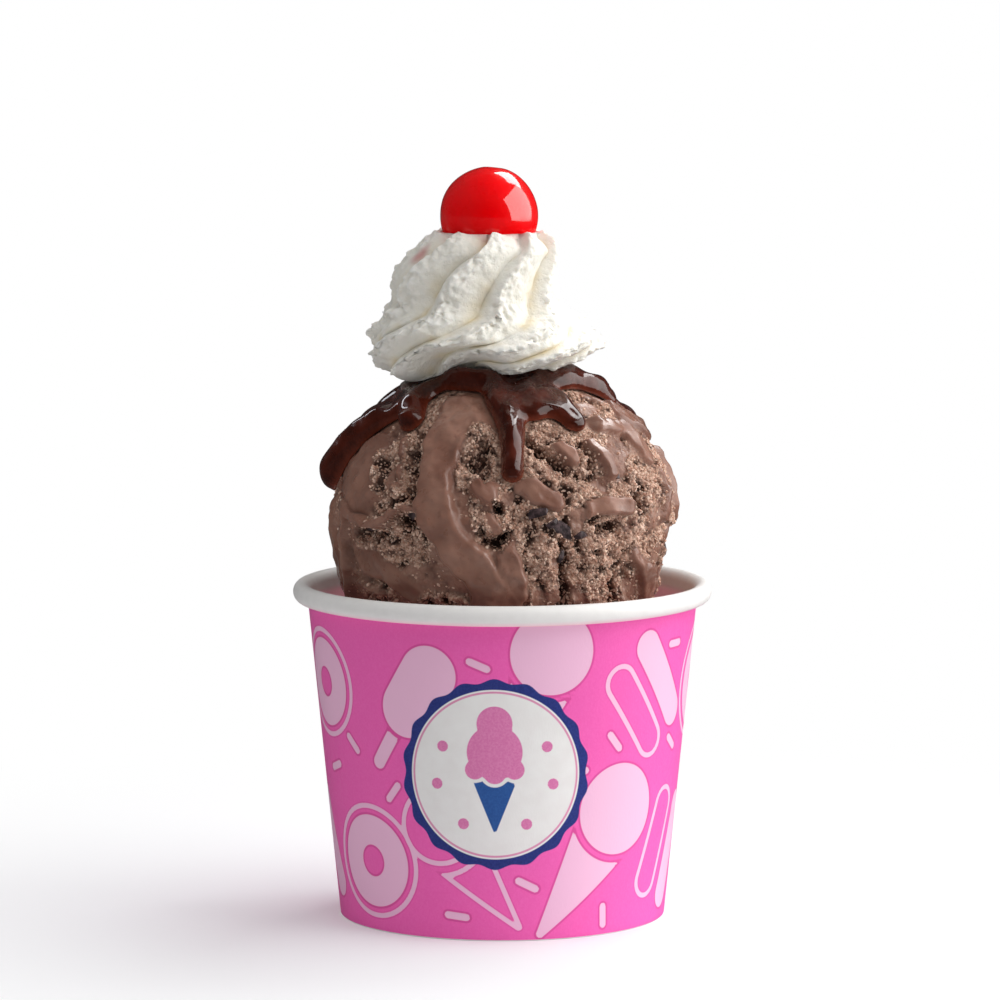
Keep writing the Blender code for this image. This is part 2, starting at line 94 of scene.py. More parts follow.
def turnTo(azimuth, radius, height):
    # azimuth in radians
    x, y = radius * np.sin(azimuth), -radius * np.cos(azimuth)
    return np.stack(np.broadcast_arrays(x, y, height), axis=-1)


# Meshes from grids of points

def gridFaces(rows, columns, closedRows=False):
    # quads of a grid that runs down the outer side and is closed round its columns
    row, column = np.meshgrid(
        np.arange(rows if closedRows else rows - 1), np.arange(columns), indexing="ij"
    )
    nextRow, nextColumn = (row + 1) % rows, (column + 1) % columns
    corners = (
        row * columns + column, nextRow * columns + column,
        nextRow * columns + nextColumn, row * columns + nextColumn,
    )
    return np.stack(corners, axis=-1).reshape(-1, 4)


def poleFaces(firstOfRing, columns, pole, top):
    column = np.arange(columns)
    near, far = firstOfRing + column, firstOfRing + (column + 1) % columns
    ring = (near, far) if top else (far, near)
    return np.stack([np.full(columns, pole), *ring], axis=-1)


def added(name, data):
    thing = bpy.data.objects.new(name, data)
    bpy.context.scene.collection.objects.link(thing)
    return thing


def makePiece(name, points, faces, finishes, values=None, faceSlots=None):
    mesh = bpy.data.meshes.new(name)
    mesh.from_pydata((np.asarray(points) * mm).tolist(), [], faces)
    for finish in finishes:
        mesh.materials.append(finish)
    if faceSlots is not None:
        mesh.polygons.foreach_set("material_index", np.asarray(faceSlots, np.int32))
    for label, numbers in (values or {}).items():
        layer = mesh.attributes.new(label, "FLOAT", "POINT")
        layer.data.foreach_set("value", np.asarray(numbers, np.float32).ravel())
    mesh.shade_smooth()
    mesh.update()
    return added(name, mesh)


def domeFaces(rows, columns):
    # grid faces with a pole at each end, whose points come after the grid's
    quads = gridFaces(rows, columns)
    topPole, lowPole = rows * columns, rows * columns + 1
    top = poleFaces(0, columns, topPole, True)
    low = poleFaces((rows - 1) * columns, columns, lowPole, False)
    return quads.tolist() + top.tolist() + low.tolist()


def dress(piece, slotName, *nodes):
    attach(piece, "root")
    if nodes:
        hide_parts(*nodes)
    count = sum(len(face.vertices) - 2 for face in piece.data.polygons)
    print(piece.name, "has", count, "triangles")


# Node trees

class Signal:
    # what comes out of a node; arithmetic on it adds Math nodes
    def __init__(self, maker, socket):
        self.maker = maker
        self.socket = socket

    def maths(self, operation, *values):
        return self.maker.node("ShaderNodeMath", {"operation": operation}, values)

    def __add__(self, other):
        return self.maths("ADD", self, other)

    def __sub__(self, other):
        return self.maths("SUBTRACT", self, other)

    def __rsub__(self, other):
        return self.maths("SUBTRACT", other, self)

    def __mul__(self, other):
        return self.maths("MULTIPLY", self, other)

    __radd__ = __add__
    __rmul__ = __mul__

    def size(self):
        return self.maths("ABSOLUTE", self)

    def most(self, other):
        return self.maths("MAXIMUM", self, other)

    def least(self, other):
        return self.maths("MINIMUM", self, other)

    def ramp(self, low, high):
        # 0 below low and 1 above high, smooth between
        settings = {"interpolation_type": "SMOOTHSTEP", "clamp": True}
        return self.maker.node("ShaderNodeMapRange", settings, (self, low, high, 0.0, 1.0))


class NodeMaker:
    def __init__(self, tree):
        self.tree = tree

    def node(self, kind, settings=None, inputs=(), output=0):
        made = self.tree.nodes.new(kind)
        for label, value in (settings or {}).items():
            setattr(made, label, value)
        for key, value in inputs.items() if isinstance(inputs, dict) else enumerate(inputs):
            if isinstance(value, Signal):
                self.tree.links.new(value.socket, made.inputs[key])
            else:
                made.inputs[key].default_value = value
        return Signal(self, made.outputs[output])

    def place(self):
        return self.node("ShaderNodeTexCoord", output="Object")

    def stored(self, label):
        return self.node("ShaderNodeAttribute", {"attribute_name": label}, output="Fac")

    def mottle(self, size, detail=2.0, rough=0.5, stretch=None):
        # noise around 0.5, its grain size in millimetres
        where = self.place()
        if stretch:
            where = self.node("ShaderNodeMapping", None, {"Vector": where, "Scale": stretch})
        inputs = {"Vector": where, "Scale": 1 / (size * mm), "Detail": detail, "Roughness": rough}
        return self.node("ShaderNodeTexNoise", None, inputs, "Fac")

    def grains(self, size):
        inputs = {"Vector": self.place(), "Scale": 1 / (size * mm)}
        return self.node("ShaderNodeTexVoronoi", {"feature": "F1"}, inputs, "Distance")

    def blend(self, share, a, b):
        return self.node("ShaderNodeMix", {"data_type": "RGBA"}, {0: share, 6: a, 7: b}, 2)

    def part(self, index):
        # x, y or z of the place
        return self.node("ShaderNodeSeparateXYZ", None, {0: self.place()}, index)


def tint(red, green, blue):
    # a colour as it looks on the screen, 0 to 255, made linear
    parts = [value / 255 for value in (red, green, blue)]
    return (*[p / 12.92 if p <= 0.04045 else ((p + 0.055) / 1.055) ** 2.4 for p in parts], 1.0)


class Finish(NodeMaker):
    def __init__(self, name, fixed):
        self.material = bpy.data.materials.new(name)
        self.material.use_nodes = True
        super().__init__(self.material.node_tree)
        self.shader = self.tree.nodes["Principled BSDF"]
        for label, value in fixed.items():
            self.shader.inputs[label].default_value = value

    def feed(self, label, signal):
        self.tree.links.new(signal.socket, self.shader.inputs[label])

    def bump(self, height, depth, strength=1.0):
        # depth in millimetres for a height of 1
        inputs = {"Strength": strength, "Distance": depth * mm, "Height": height}
        self.feed("Normal", self.node("ShaderNodeBump", None, inputs))


# Scoop surface, on the polar angle theta from its top

scoop = {
    "radius": 34.4,
    "middleZ": 84.0,
    "rise": 29.0,
    "drop": 42.0,
    "taper": 1.7,
    "neckAngle": 123.0,
}


def scoopSection(theta, lift=0.0):
    # radius and height of the plain scoop, moved out along its normal
    sine, cosine = np.sin(theta), np.cos(theta)
    power = 2 / scoop["taper"]
    up = np.maximum(cosine, 1e-6)
    above = cosine >= 0
    height = scoop["middleZ"] + np.where(above, scoop["rise"] * up**power, scoop["drop"] * cosine)
    fall = np.where(above, scoop["rise"] * power * up ** (power - 1) * sine, scoop["drop"] * sine)
    across = scoop["radius"] * cosine
    length = np.hypot(fall, across)
    return scoop["radius"] * sine + lift * fall / length, height + lift * across / length


def thetaAt(z):
    over = (z - scoop["middleZ"]) / scoop["rise"]
    under = (z - scoop["middleZ"]) / scoop["drop"]
    above = np.arccos(np.clip(over, 0, 1) ** (scoop["taper"] / 2))
    return np.where(over >= 0, above, np.arccos(np.clip(under, -1, 0)))


def scoopPoint(azimuth, theta, lift=0.0):
    return turnTo(azimuth, *scoopSection(theta, lift))


def alongChain(points, chain):
    # distance from a chain's middle line, and the chain's own sizes at the nearest place
    table = np.array(chain if len(chain) > 1 else chain * 2, float)
    nodes, sizes = scoopPoint(np.radians(table[:, 0]), thetaAt(table[:, 1])), table[:, 2:]
    apart, here = np.inf, np.zeros(1)
    for i in range(len(nodes) - 1):
        along = nodes[i + 1] - nodes[i]
        share = np.clip((points - nodes[i]) @ along / max(along @ along, 1e-9), 0, 1)
        away = np.linalg.norm(points - nodes[i] - share[..., None] * along, axis=-1)
        size = sizes[i] + (sizes[i + 1] - sizes[i]) * share[..., None]
        closer = away - size[..., 0] < apart - here[..., 0]
        apart = np.where(closer, away, apart)
        here = np.where(closer[..., None], size, here)
    return apart, here


def chainLift(points, chain):
    # how far a rounded lobe along the chain stands out
    apart, sizes = alongChain(points, chain)
    return sizes[..., 1] * (1 - smoothStep(0.35, 1.25, apart / sizes[..., 0]))


# Fudge sauce: a cap under the cream and the runs that leave it

sauce = {
    "cell": 0.5,
    "reach": 62.0,
    "capRadius": 16.5,
    "blend": 2.2,
    "rest": 0.45,
    "thickness": 1.8,
    "dripThickness": 0.9,
    "edge": 2.4,
    "rimThickness": 0.3,
    "ripple": 1.1,
    "rippleSize": 4.6,
    "swells": (
        ((-76, 101, 6.0, 0.8), (-84, 96, 7.0, 1.7), (-88, 92, 6.5, 2.0)),
        ((50, 110.5, 4.5, 1.0), (66, 109.5, 5.0, 1.6), (84, 108.0, 4.0, 1.0)),
    ),
    "lap": (-28.0, 30.0, 1.9),
    "lapRadii": (11.0, 14.5),
    "bubbles": {
        "Per square metre": 0.026 * 1e6, "Smallest": 0.1 * mm, "Largest": 0.3 * mm, "Lift": 0.0,
        "Roughen": 0.0, "Where": "open", "Seed": 4,
    },
}
# each run as azimuth, height and half width
sauceRuns = (
    ((-66, 108.5, 5.0), (-72, 105, 6.0), (-78, 101.5, 5.0), (-85, 96.5, 4.6), (-88, 91.5, 4.2)),
    ((-64, 108.8, 4.4), (-54, 105.6, 3.2), (-47, 103.2, 2.9)),
    ((0, 110, 4.2), (3, 105.8, 3.5), (4, 102.5, 2.8), (4, 98.5, 2.3), (3.5, 94.4, 2.3)),
    ((8, 108, 5.5), (16, 106, 3.6), (28, 107, 4.2)),
    ((30, 107, 3.6), (35, 103.4, 2.8)),
    ((48, 111, 4.0), (66, 110.5, 3.6), (80, 109, 3.6), (93, 106.5, 3.2)),
    ((112, 109, 5.5), (114, 98.5, 2.5)),
    ((128, 108.5, 6.0), (146, 107, 6.0)),
    ((163, 109, 5.0), (165, 102, 3.6), (166, 94.5, 2.7)),
    ((180, 109, 6.0), (204, 107.5, 6.5)),
    ((216, 109, 5.0), (214, 97.5, 2.8)),
    ((236, 109, 6.0), (250, 104, 5.0), (254, 101.5, 4.2)),
    ((268, 109, 5.5), (290, 108.5, 6.0)),
)


def windowAt(points, middle, spread):
    # 1 round an azimuth and 0 away from it
    apart = (np.degrees(np.arctan2(points[:, 0], -points[:, 1])) - middle + 180) % 360 - 180
    return np.exp(-((apart / spread) ** 4))


def sauceOutside(points):
    # distance outside the sauce's edge, negative within it
    field = np.hypot(points[..., 0], points[..., 1]) - sauce["capRadius"]
    for run in sauceRuns:
        apart, sizes = alongChain(points, run)
        other = apart - sizes[..., 0]
        share = np.clip(1 - np.abs(field - other) / sauce["blend"], 0, None)
        field = np.minimum(field, other) - share * share * sauce["blend"] / 4
    return field


def unrolled(flat, lift=0.0):
    # a point of the plane, where distances from the middle stay true, on the scoop
    azimuth = np.arctan2(flat[..., 0], -flat[..., 1])
    theta = np.hypot(flat[..., 0], flat[..., 1]) / scoop["radius"]
    return scoopPoint(azimuth, theta, lift)


def pulledToEdge(flat):
    # plane points within half a cell of the sauce's edge move onto it
    step = 0.05
    for turn in range(4):
        outside = sauceOutside(unrolled(flat))
        near = np.abs(outside) < sauce["cell"] * 0.55
        here = flat[near]
        slope = np.stack([
            sauceOutside(unrolled(here + (step, 0.0))) - outside[near],
            sauceOutside(unrolled(here + (0.0, step))) - outside[near],
        ], axis=-1) / step
        steep = np.maximum((slope**2).sum(axis=-1), 0.2)
        flat[near] = here - slope * (outside[near] / steep)[:, None]
    return flat


def fudgeFinish():
    finish = Finish("glossy_fudge", {
        "Roughness": 0.3, "IOR": 1.4, "Specular IOR Level": 0.1,
        "Coat Weight": 1.0, "Coat Roughness": 0.03, "Coat IOR": 1.43,
    })
    thin = finish.stored("thin")
    cloud = finish.mottle(6.0, 3)
    dark = finish.blend(cloud.ramp(0.35, 0.7), tint(54, 18, 10), tint(78, 29, 18))
    body = finish.blend(thin, dark, tint(108, 46, 29))
    finish.feed("Base Color", body)
    finish.feed("Roughness", finish.mottle(3.0).ramp(0.4, 0.8) * 0.1 + 0.25)
    finish.bump(finish.mottle(3.8, 1.0), 1.7, 0.9)
    return finish.material


def makeSauce():
    cell, reach = sauce["cell"], sauce["reach"]
    half = int(reach / cell) + 2
    row, column = np.meshgrid(np.arange(-half, half + 1), np.arange(-half, half + 1), indexing="ij")
    flat = np.stack([
        (column + (row % 2) / 2) * cell, row * cell * math.sqrt(3) / 2,
    ], axis=-1).reshape(-1, 2)
    wide = 2 * half + 1
    index = np.arange(wide * wide).reshape(wide, wide)
    a, b = index[:-1, :-1], index[:-1, 1:]
    c, d = index[1:, :-1], index[1:, 1:]
    odd = (row[:-1, :-1] % 2 == 1)[..., None]
    first = np.where(odd, np.stack([a, b, d], -1), np.stack([a, b, c], -1))
    second = np.where(odd, np.stack([a, d, c], -1), np.stack([b, d, c], -1))
    triangles = np.concatenate([first.reshape(-1, 3), second.reshape(-1, 3)])
    inReach = np.hypot(flat[:, 0], flat[:, 1]) < reach
    triangles = triangles[inReach[triangles].all(axis=1)]
    flat[inReach] = pulledToEdge(flat[inReach])
    outside = np.full(len(flat), 9.0)
    outside[inReach] = sauceOutside(unrolled(flat[inReach]))
    tiny = 0.03
    triangles = triangles[(outside[triangles] < tiny).all(axis=1)]
    middle = flat[triangles].mean(axis=1)
    triangles = triangles[sauceOutside(unrolled(middle)) < -tiny]
    used = np.unique(triangles)
    renumber = np.zeros(len(flat), int)
    renumber[used] = np.arange(len(used))
    triangles = renumber[triangles]
    flat, outside = flat[used], outside[used]
    edges = np.concatenate([triangles[:, [0, 1]], triangles[:, [1, 2]], triangles[:, [2, 0]]])
    key = np.sort(edges, axis=1) @ np.array([len(flat), 1])
    order, firstSeen, times = np.unique(key, return_index=True, return_counts=True)
    rim = edges[firstSeen[times == 1]]
    onRim = np.zeros(len(flat), bool)
    onRim[rim] = True

    base = unrolled(flat)
    low = 1 - smoothStep(94, 106, base[:, 2])
    swell = np.max([chainLift(base, chain) for chain in sauce["swells"]], axis=0)
    full = sauce["thickness"] + sauce["dripThickness"] * low + swell
    inward = np.clip(1 + outside / (sauce["edge"] + swell), 0, 1)
    rise = full * np.sqrt(1 - inward**2)
    inside = smoothStep(0.3, 3.0, -outside)
    rise += inside * sauce["ripple"] * noiseAt(base, sauce["rippleSize"], 4.2)
    middle, spread, height = sauce["lap"]
    lap = windowAt(base, middle, spread) * smoothStep(*sauce["lapRadii"], np.hypot(base[:, 0], base[:, 1]))
    rise += height * lap * smoothStep(0.0, 2.0, -outside) * (1 + 0.7 * noiseAt(base, 4.0, 9.3))
    rise += inside * 0.12 * noiseAt(base, 3.0, 1.7)
    rise = np.where(onRim, sauce["rimThickness"], np.maximum(rise, sauce["rimThickness"]))
    upper = unrolled(flat, sauce["rest"] + rise)
    lower = unrolled(flat, sauce["rest"])
    count = len(flat)
    sides = np.stack([rim[:, 1], rim[:, 0], rim[:, 0] + count, rim[:, 1] + count], axis=-1)
    faces = triangles.tolist() + (triangles[:, ::-1] + count).tolist() + sides.tolist()
    thin = 1 - smoothStep(0.35, 1.5, rise)
    values = {
        "thin": np.concatenate([thin, thin]),
        "open": np.concatenate([smoothStep(0.8, 2.0, -outside), np.zeros(count)]),
    }
    piece = makePiece("fudge_sauce_poured", np.vstack([upper, lower]), faces, [fudgeFinish()], values)
    faceOutwards(piece.data)
    return piece


def faceOutwards(mesh):
    shape = bmesh.new()
    shape.from_mesh(mesh)
    bmesh.ops.recalc_face_normals(shape, faces=shape.faces)
    if shape.calc_volume(signed=True) < 0:
        bmesh.ops.reverse_faces(shape, faces=shape.faces)
    shape.to_mesh(mesh)
    shape.free()


# Ice cream

ice = {
    "columns": 600,
    "rings": 138,
    "coveredAngles": (9, 17, 23),
    "bareAngle": 27.0,
    "neckTurns": (0.35, 0.7, 1.0),
    "shoulderZ": 50.0,
    "lowZ": 6.55,
    "foldInset": 2.2,
    "gap": 0.35,
    "lump": (22.0, 1.0),
    "crag": (7.0, 2.2),
    "ridge": (2.6, 1.3),
    "pit": (2.4, 1.3),
    "drag": (1.1, 0.9),
    "dragStretch": (0.26, 0.26, 0.75),
    "coarseGrain": (1.3, 0.85),
    "fineGrain": (0.66, 0.42),
    "warp": ((7.0, 1.5), (2.6, 0.6)),
    "flank": (1.7, 0.34),
    "hollowShare": 1.35,
    "lobeEdge": (0.66, 1.08),  # where a form fades, in its own half widths
    "meltEdge": (0.86, 1.06),
    "hollowEdge": (0.4, 1.15),
    "granularEdge": (0.75, 1.1),
    "meltBias": (-0.2, 0.02, 0.28, (64, 82)),  # to the right, everywhere, low down, between these heights
    "dragTurn": 32,
}
# melted lobes, each a chain of azimuth, height, half width and lift
lobes = {
    "leftOval": ((-63, 96, 6.8, 2.2), (-57, 91, 7.6, 2.6)),
    "ovalLip": ((-66, 87.6, 0.9, 2.6), (-60, 85.3, 1.1, 3.2), (-52, 83.9, 1.2, 3.4),
                (-45, 83.7, 1.2, 3.4), (-40, 85.0, 1.1, 3.0), (-35, 87.4, 1.0, 2.6), (-28, 87.4, 0.9, 2.4)),
    "ovalRightLip": ((-43, 100, 0.9, 2.6), (-40, 95, 0.9, 2.9), (-38, 90, 0.9, 2.6)),
    "centreDome": ((-17, 106, 7.4, 2.0), (-17, 102, 7.6, 2.5)),
    "centreLobe": ((-22, 104, 4.8, 2.2), (-23.5, 100, 5.6, 2.7), (-24, 95, 4.5, 3.1), (-23.5, 90, 4.4, 3.1),
                   (-21, 85, 4.4, 2.9), (-16, 80, 3.9, 2.6), (-9, 75.5, 4.2, 2.3), (-4, 71, 4.8, 2.0),
                   (-1, 66, 5.6, 1.6)),
    "centreToe": ((1, 79, 2.4, 1.9), (3, 75, 3.2, 1.9), (3, 70, 4.0, 1.6)),
    "pocketNub": ((-8, 92.4, 1.7, 2.6), (-4.5, 89.6, 2.0, 2.8), (-2, 92.0, 1.2, 2.4)),
    "pocketFloor": ((-12, 84.5, 1.5, 1.2), (-5, 85.5, 1.6, 1.2)),
    "middlePatch": ((8, 91.5, 2.4, 1.3), (13, 90, 3.0, 1.4), (18, 88.8, 2.6, 1.2)),
    "middleCrag": ((22, 99, 1.8, 1.5), (27, 96.5, 1.6, 1.8)),
    "rightNub": ((37, 99, 1.3, 1.8), (39, 95.4, 1.9, 3.0), (41, 93.2, 1.5, 2.6)),
    "rightPatch": ((31, 86.8, 1.8, 1.6), (38, 87.3, 2.1, 2.3), (45, 87.0, 1.9, 2.5)),
    "rightHangingMelt": ((52, 77, 1.8, 1.6), (57, 73, 3.0, 2.5), (60.5, 69, 2.7, 2.6), (63, 65, 2.2, 2.4)),
    "rightLowMelt": ((47, 68, 1.6, 1.6), (46, 63, 2.0, 1.8)),
    "rightShoulder": ((48, 102, 2.8, 1.5), (60, 100.5, 2.6, 1.6), (66, 95, 2.0, 1.8)),
    "rightTopEdge": ((76, 104, 3.6, 1.3), (84, 100, 3.6, 1.8)),
    "rightEdge": ((76, 91.5, 1.8, 1.4), (75, 87.5, 2.6, 1.9), (70, 83.6, 1.7, 1.4)),
    "rightRim": ((84, 80, 2.4, 1.2), (80, 74, 2.8, 1.1), (82, 69, 2.4, 1.0)),
    "leftSkirt": ((-57, 77, 3.4, 1.0), (-42, 73.5, 3.2, 1.3), (-34, 70, 3.4, 1.4)),
    "skirtEdge": ((-66, 72.6, 0.6, 1.8), (-61, 72.3, 0.7, 2.2), (-54, 71.2, 0.7, 2.3),
                  (-48, 69.4, 0.7, 2.1), (-43, 66.6, 0.6, 1.9)),
    "leftEdgeMelt": ((-74, 90.5, 0.8, 1.8), (-63, 87.3, 0.9, 2.6), (-63, 83.3, 1.0, 2.4),
                     (-67, 79.9, 1.0, 2.4), (-68, 74.7, 1.1, 2.4), (-70, 66, 1.2, 2.2)),
    "leftEdgeBand": ((-86, 86, 2.6, 1.4), (-82, 78, 2.6, 1.5), (-78, 70, 2.8, 1.4)),
}
hollows = {
    "leftGroove": ((-38, 101, 1.5, -1.6), (-36, 97, 1.9, -2.2), (-33.5, 92.5, 1.7, -2.4),
                   (-32.5, 89.4, 1.2, -1.8)),
    "underLip": ((-58, 81.6, 1.2, -1.3), (-50, 81.0, 1.7, -1.9), (-43, 81.4, 1.2, -1.5)),
    "lipHole": ((-35, 84.6, 1.5, -2.4), (-30, 83.6, 2.0, -3.2), (-26.5, 82.2, 1.1, -2.4)),
    "centrePocket": ((-8, 99.5, 2.4, -1.8), (-9.5, 96, 2.2, -2.2), (-6, 94.8, 1.6, -2.2)),
    "nubHole": ((-1.5, 88.2, 1.4, -2.2),),
    "lowHole": ((-7, 81.2, 1.3, -2.2), (-3, 80.8, 2.1, -3.2), (-0.5, 83.2, 1.4, -2.4)),
    "rightHollow": ((10, 100.4, 1.6, -2.8), (15, 98.8, 1.9, -3.0), (20, 96.6, 1.5, -2.6),
                    (24, 94.8, 1.3, -2.2)),
    "nubGroove": ((33, 99, 0.9, -2.0), (34.5, 95, 1.1, -2.6)),
    "patchHole": ((48.5, 86.8, 1.3, -2.2),),
    "underPatch": ((36, 83.2, 1.4, -2.2), (41, 83.0, 1.9, -3.2)),
    "rightPit": ((55, 87.5, 1.7, -2.8), (58, 86.0, 1.3, -2.2)),
    "crevasse": ((19, 81.5, 1.0, -2.2), (21, 76, 1.3, -3.0), (23, 70, 1.2, -2.6), (24, 65, 1.0, -2.0)),
    "meltPit": ((58, 71.2, 0.45, -1.4),),
    "skirtPit": ((-27, 73.9, 0.5, -1.6),),
    "ovalPatch": ((-52, 96.5, 0.9, -0.5), (-48, 93.0, 1.3, -0.8), (-47, 90.5, 1.0, -0.6)),
    "belowSkirt": ((-58, 68.6, 2.4, -0.9), (-50, 66, 2.0, -0.9)),
}
# stretches that stay granular although a lobe passes
granular = {
    "ovalPatch": ((-52, 96.5, 1.4, 0.8), (-48, 93.0, 2.0, 1.0), (-47, 90.0, 1.6, 1.0)),
    "leftGroove": ((-38, 101, 2.0, 1.0), (-35.5, 97, 2.4, 1.0), (-33.5, 92, 2.2, 1.0), (-36, 89, 2.4, 1.0)),
    "pocket": ((-7, 101, 3.0, 1.0), (-10, 96, 3.2, 1.0), (-13, 91.5, 1.8, 1.0)),
    "pocketStrip": ((-9, 87.5, 1.6, 1.0), (-8, 82.5, 1.8, 1.0)),
    "belowSkirt": ((-58, 68.6, 2.6, 1.0), (-50, 66, 2.2, 1.0)),
    "lowMiddle": ((-27, 68, 3.0, 1.0), (-16, 67, 3.4, 1.0)),
    "underLip": ((-56, 80.5, 2.2, 0.8), (-30, 80.0, 3.0, 1.0)),
}
# where the scoop is flatter than round
flats = {
    "rightSide": ((88, 88, 10.0, -1.0), (90, 77, 12.0, -1.3)),
}
backLobes = {
    "count": 10, "from": 100, "to": 262, "seed": 14,
    "heights": (72, 98), "halfWidths": (3.2, 6.4), "lifts": (1.3, 2.6),
}


def farLobes():
    # lobes on the side away from the front
    draw = random.Random(backLobes["seed"])
    chains = {}
    for i in range(backLobes["count"]):
        share = (i + draw.uniform(0.2, 0.8)) / backLobes["count"]
        azimuth = between(backLobes["from"], backLobes["to"], share)
        height, width, lift = (draw.uniform(*backLobes[label]) for label in ("heights", "halfWidths", "lifts"))
        tail = (azimuth + draw.uniform(-9, 9), height - draw.uniform(5, 13), width * 0.8, lift)
        chains[f"far{i}"] = ((azimuth, height, width, lift), tail)
    return chains


def iceRelief(points, azimuth):
    # lift out of the plain scoop, how melted it is, how much painted shade it gets (more the deeper it lies in
    # a pit or hollow), and where crumbs lie
    z = points[..., 2]
    bends = (depth * noiseAt(points, size, 2.0, noise.noise_vector) for size, depth in ice["warp"])
    bent = points + sum(bends)
    flankWidth, flankShare = ice["flank"]
    raised, melt = np.zeros(len(points)), np.zeros(len(points))
    for chain in [*lobes.values(), *farLobes().values()]:
        apart, sizes = alongChain(bent, chain)
        ratio = apart / sizes[:, 0]
        raised = np.maximum(raised, sizes[:, 1] * (1 - smoothStep(*ice["lobeEdge"], ratio)))
        raised = np.maximum(raised, flankShare * sizes[:, 1] * (1 - smoothStep(0.8, flankWidth, ratio)))
        melt = np.maximum(melt, 1 - smoothStep(*ice["meltEdge"], ratio))
    sunk = np.zeros(len(points))
    for chain in hollows.values():
        apart, sizes = alongChain(bent, chain)
        dip = ice["hollowShare"] * sizes[:, 1] * (1 - smoothStep(*ice["hollowEdge"], apart / sizes[:, 0]))
        sunk = np.minimum(sunk, dip)
    toRight, everywhere, low, heights = ice["meltBias"]
    bias = toRight * np.sin(azimuth) + everywhere + low * (1 - smoothStep(*heights, z))
    blots = noiseAt(points, 8.5, 5.0) + 0.5 * noiseAt(points, 3.6, 8.0) + bias
    melt = np.maximum(melt, 0.85 * smoothStep(0.1, 0.26, blots))
    for chain in granular.values():
        apart, sizes = alongChain(bent, chain)
        near = 1 - smoothStep(*ice["granularEdge"], apart / sizes[:, 0])
        melt = np.minimum(melt, 1 - sizes[:, 1] * near)
    melt = melt * (1 - smoothStep(-0.6, -1.4, sunk) * 0.7)
    rough = 1 - melt

    def layer(label, shape):
        # the layer's own grain size goes to its shape, and its depth scales what comes back
        size, depth = ice[label]
        return depth * shape(size)

    lump = layer("lump", lambda size: noiseAt(points, size))
    crags = layer("crag", lambda size: noiseAt(points, size, np.array((3.1, 7.7, 1.3))))
    ridges = layer("ridge", lambda size: 0.28 - np.abs(noiseAt(points, size, 6.6)))
    pits = layer("pit", lambda size: -smoothStep(0.16, 0.42, noiseAt(points, size, 9.1)))
    size, depth = ice["drag"]
    cosine, sine = turnOf(ice["dragTurn"])
    dragTurn = np.array([[cosine, 0.0, -sine], [0.0, 1.0, 0.0], [sine, 0.0, cosine]])
    torn = noiseAt(bent @ dragTurn * ice["dragStretch"], size, 2.7)
    ridges += depth * (0.24 - np.abs(torn)) + depth * 0.6 * noiseAt(points, 1.7, 5.5)
    grains = layer("coarseGrain", lambda size: 0.45 - grainsAt(points, size, 3.3))
    grains += layer("fineGrain", lambda size: 0.45 - grainsAt(points, size, 7.1))

    outside = sauceOutside(points)
    below = smoothStep(55, 62, z)
    coarse = below * smoothStep(0.3, 3.4, outside)
    fine = below * smoothStep(-0.2, 1.2, outside)
    form = np.where(raised > -sunk, raised, sunk)
    deep = smoothStep(-0.2, 1.0, outside) * below
    lift = coarse * (lump + sum(chainLift(points, flat) for flat in flats.values()))
    lift += coarse * (np.maximum(form, 0) + crags * rough * (1 - 0.8 * np.clip(np.abs(form), 0, 1)))
    lift += deep * np.minimum(form, 0)
    lift += fine * rough * (grains + ridges + pits)
    lift += fine * melt * (0.75 * noiseAt(points, 4.0, 1.1) + 0.26 * noiseAt(points, 1.4, 2.2))
    # painted shade: places deep among grains, ridges, pits and hollows get a darker colour
    painted_pit_shade = np.clip(-(grains + ridges * 0.6 + pits) * rough / 0.9 - 0.6 * sunk / 2.0, 0, 1)
    return lift, melt, painted_pit_shade * fine, rough * smoothStep(0.4, 1.4, outside) * smoothStep(61, 63, z)


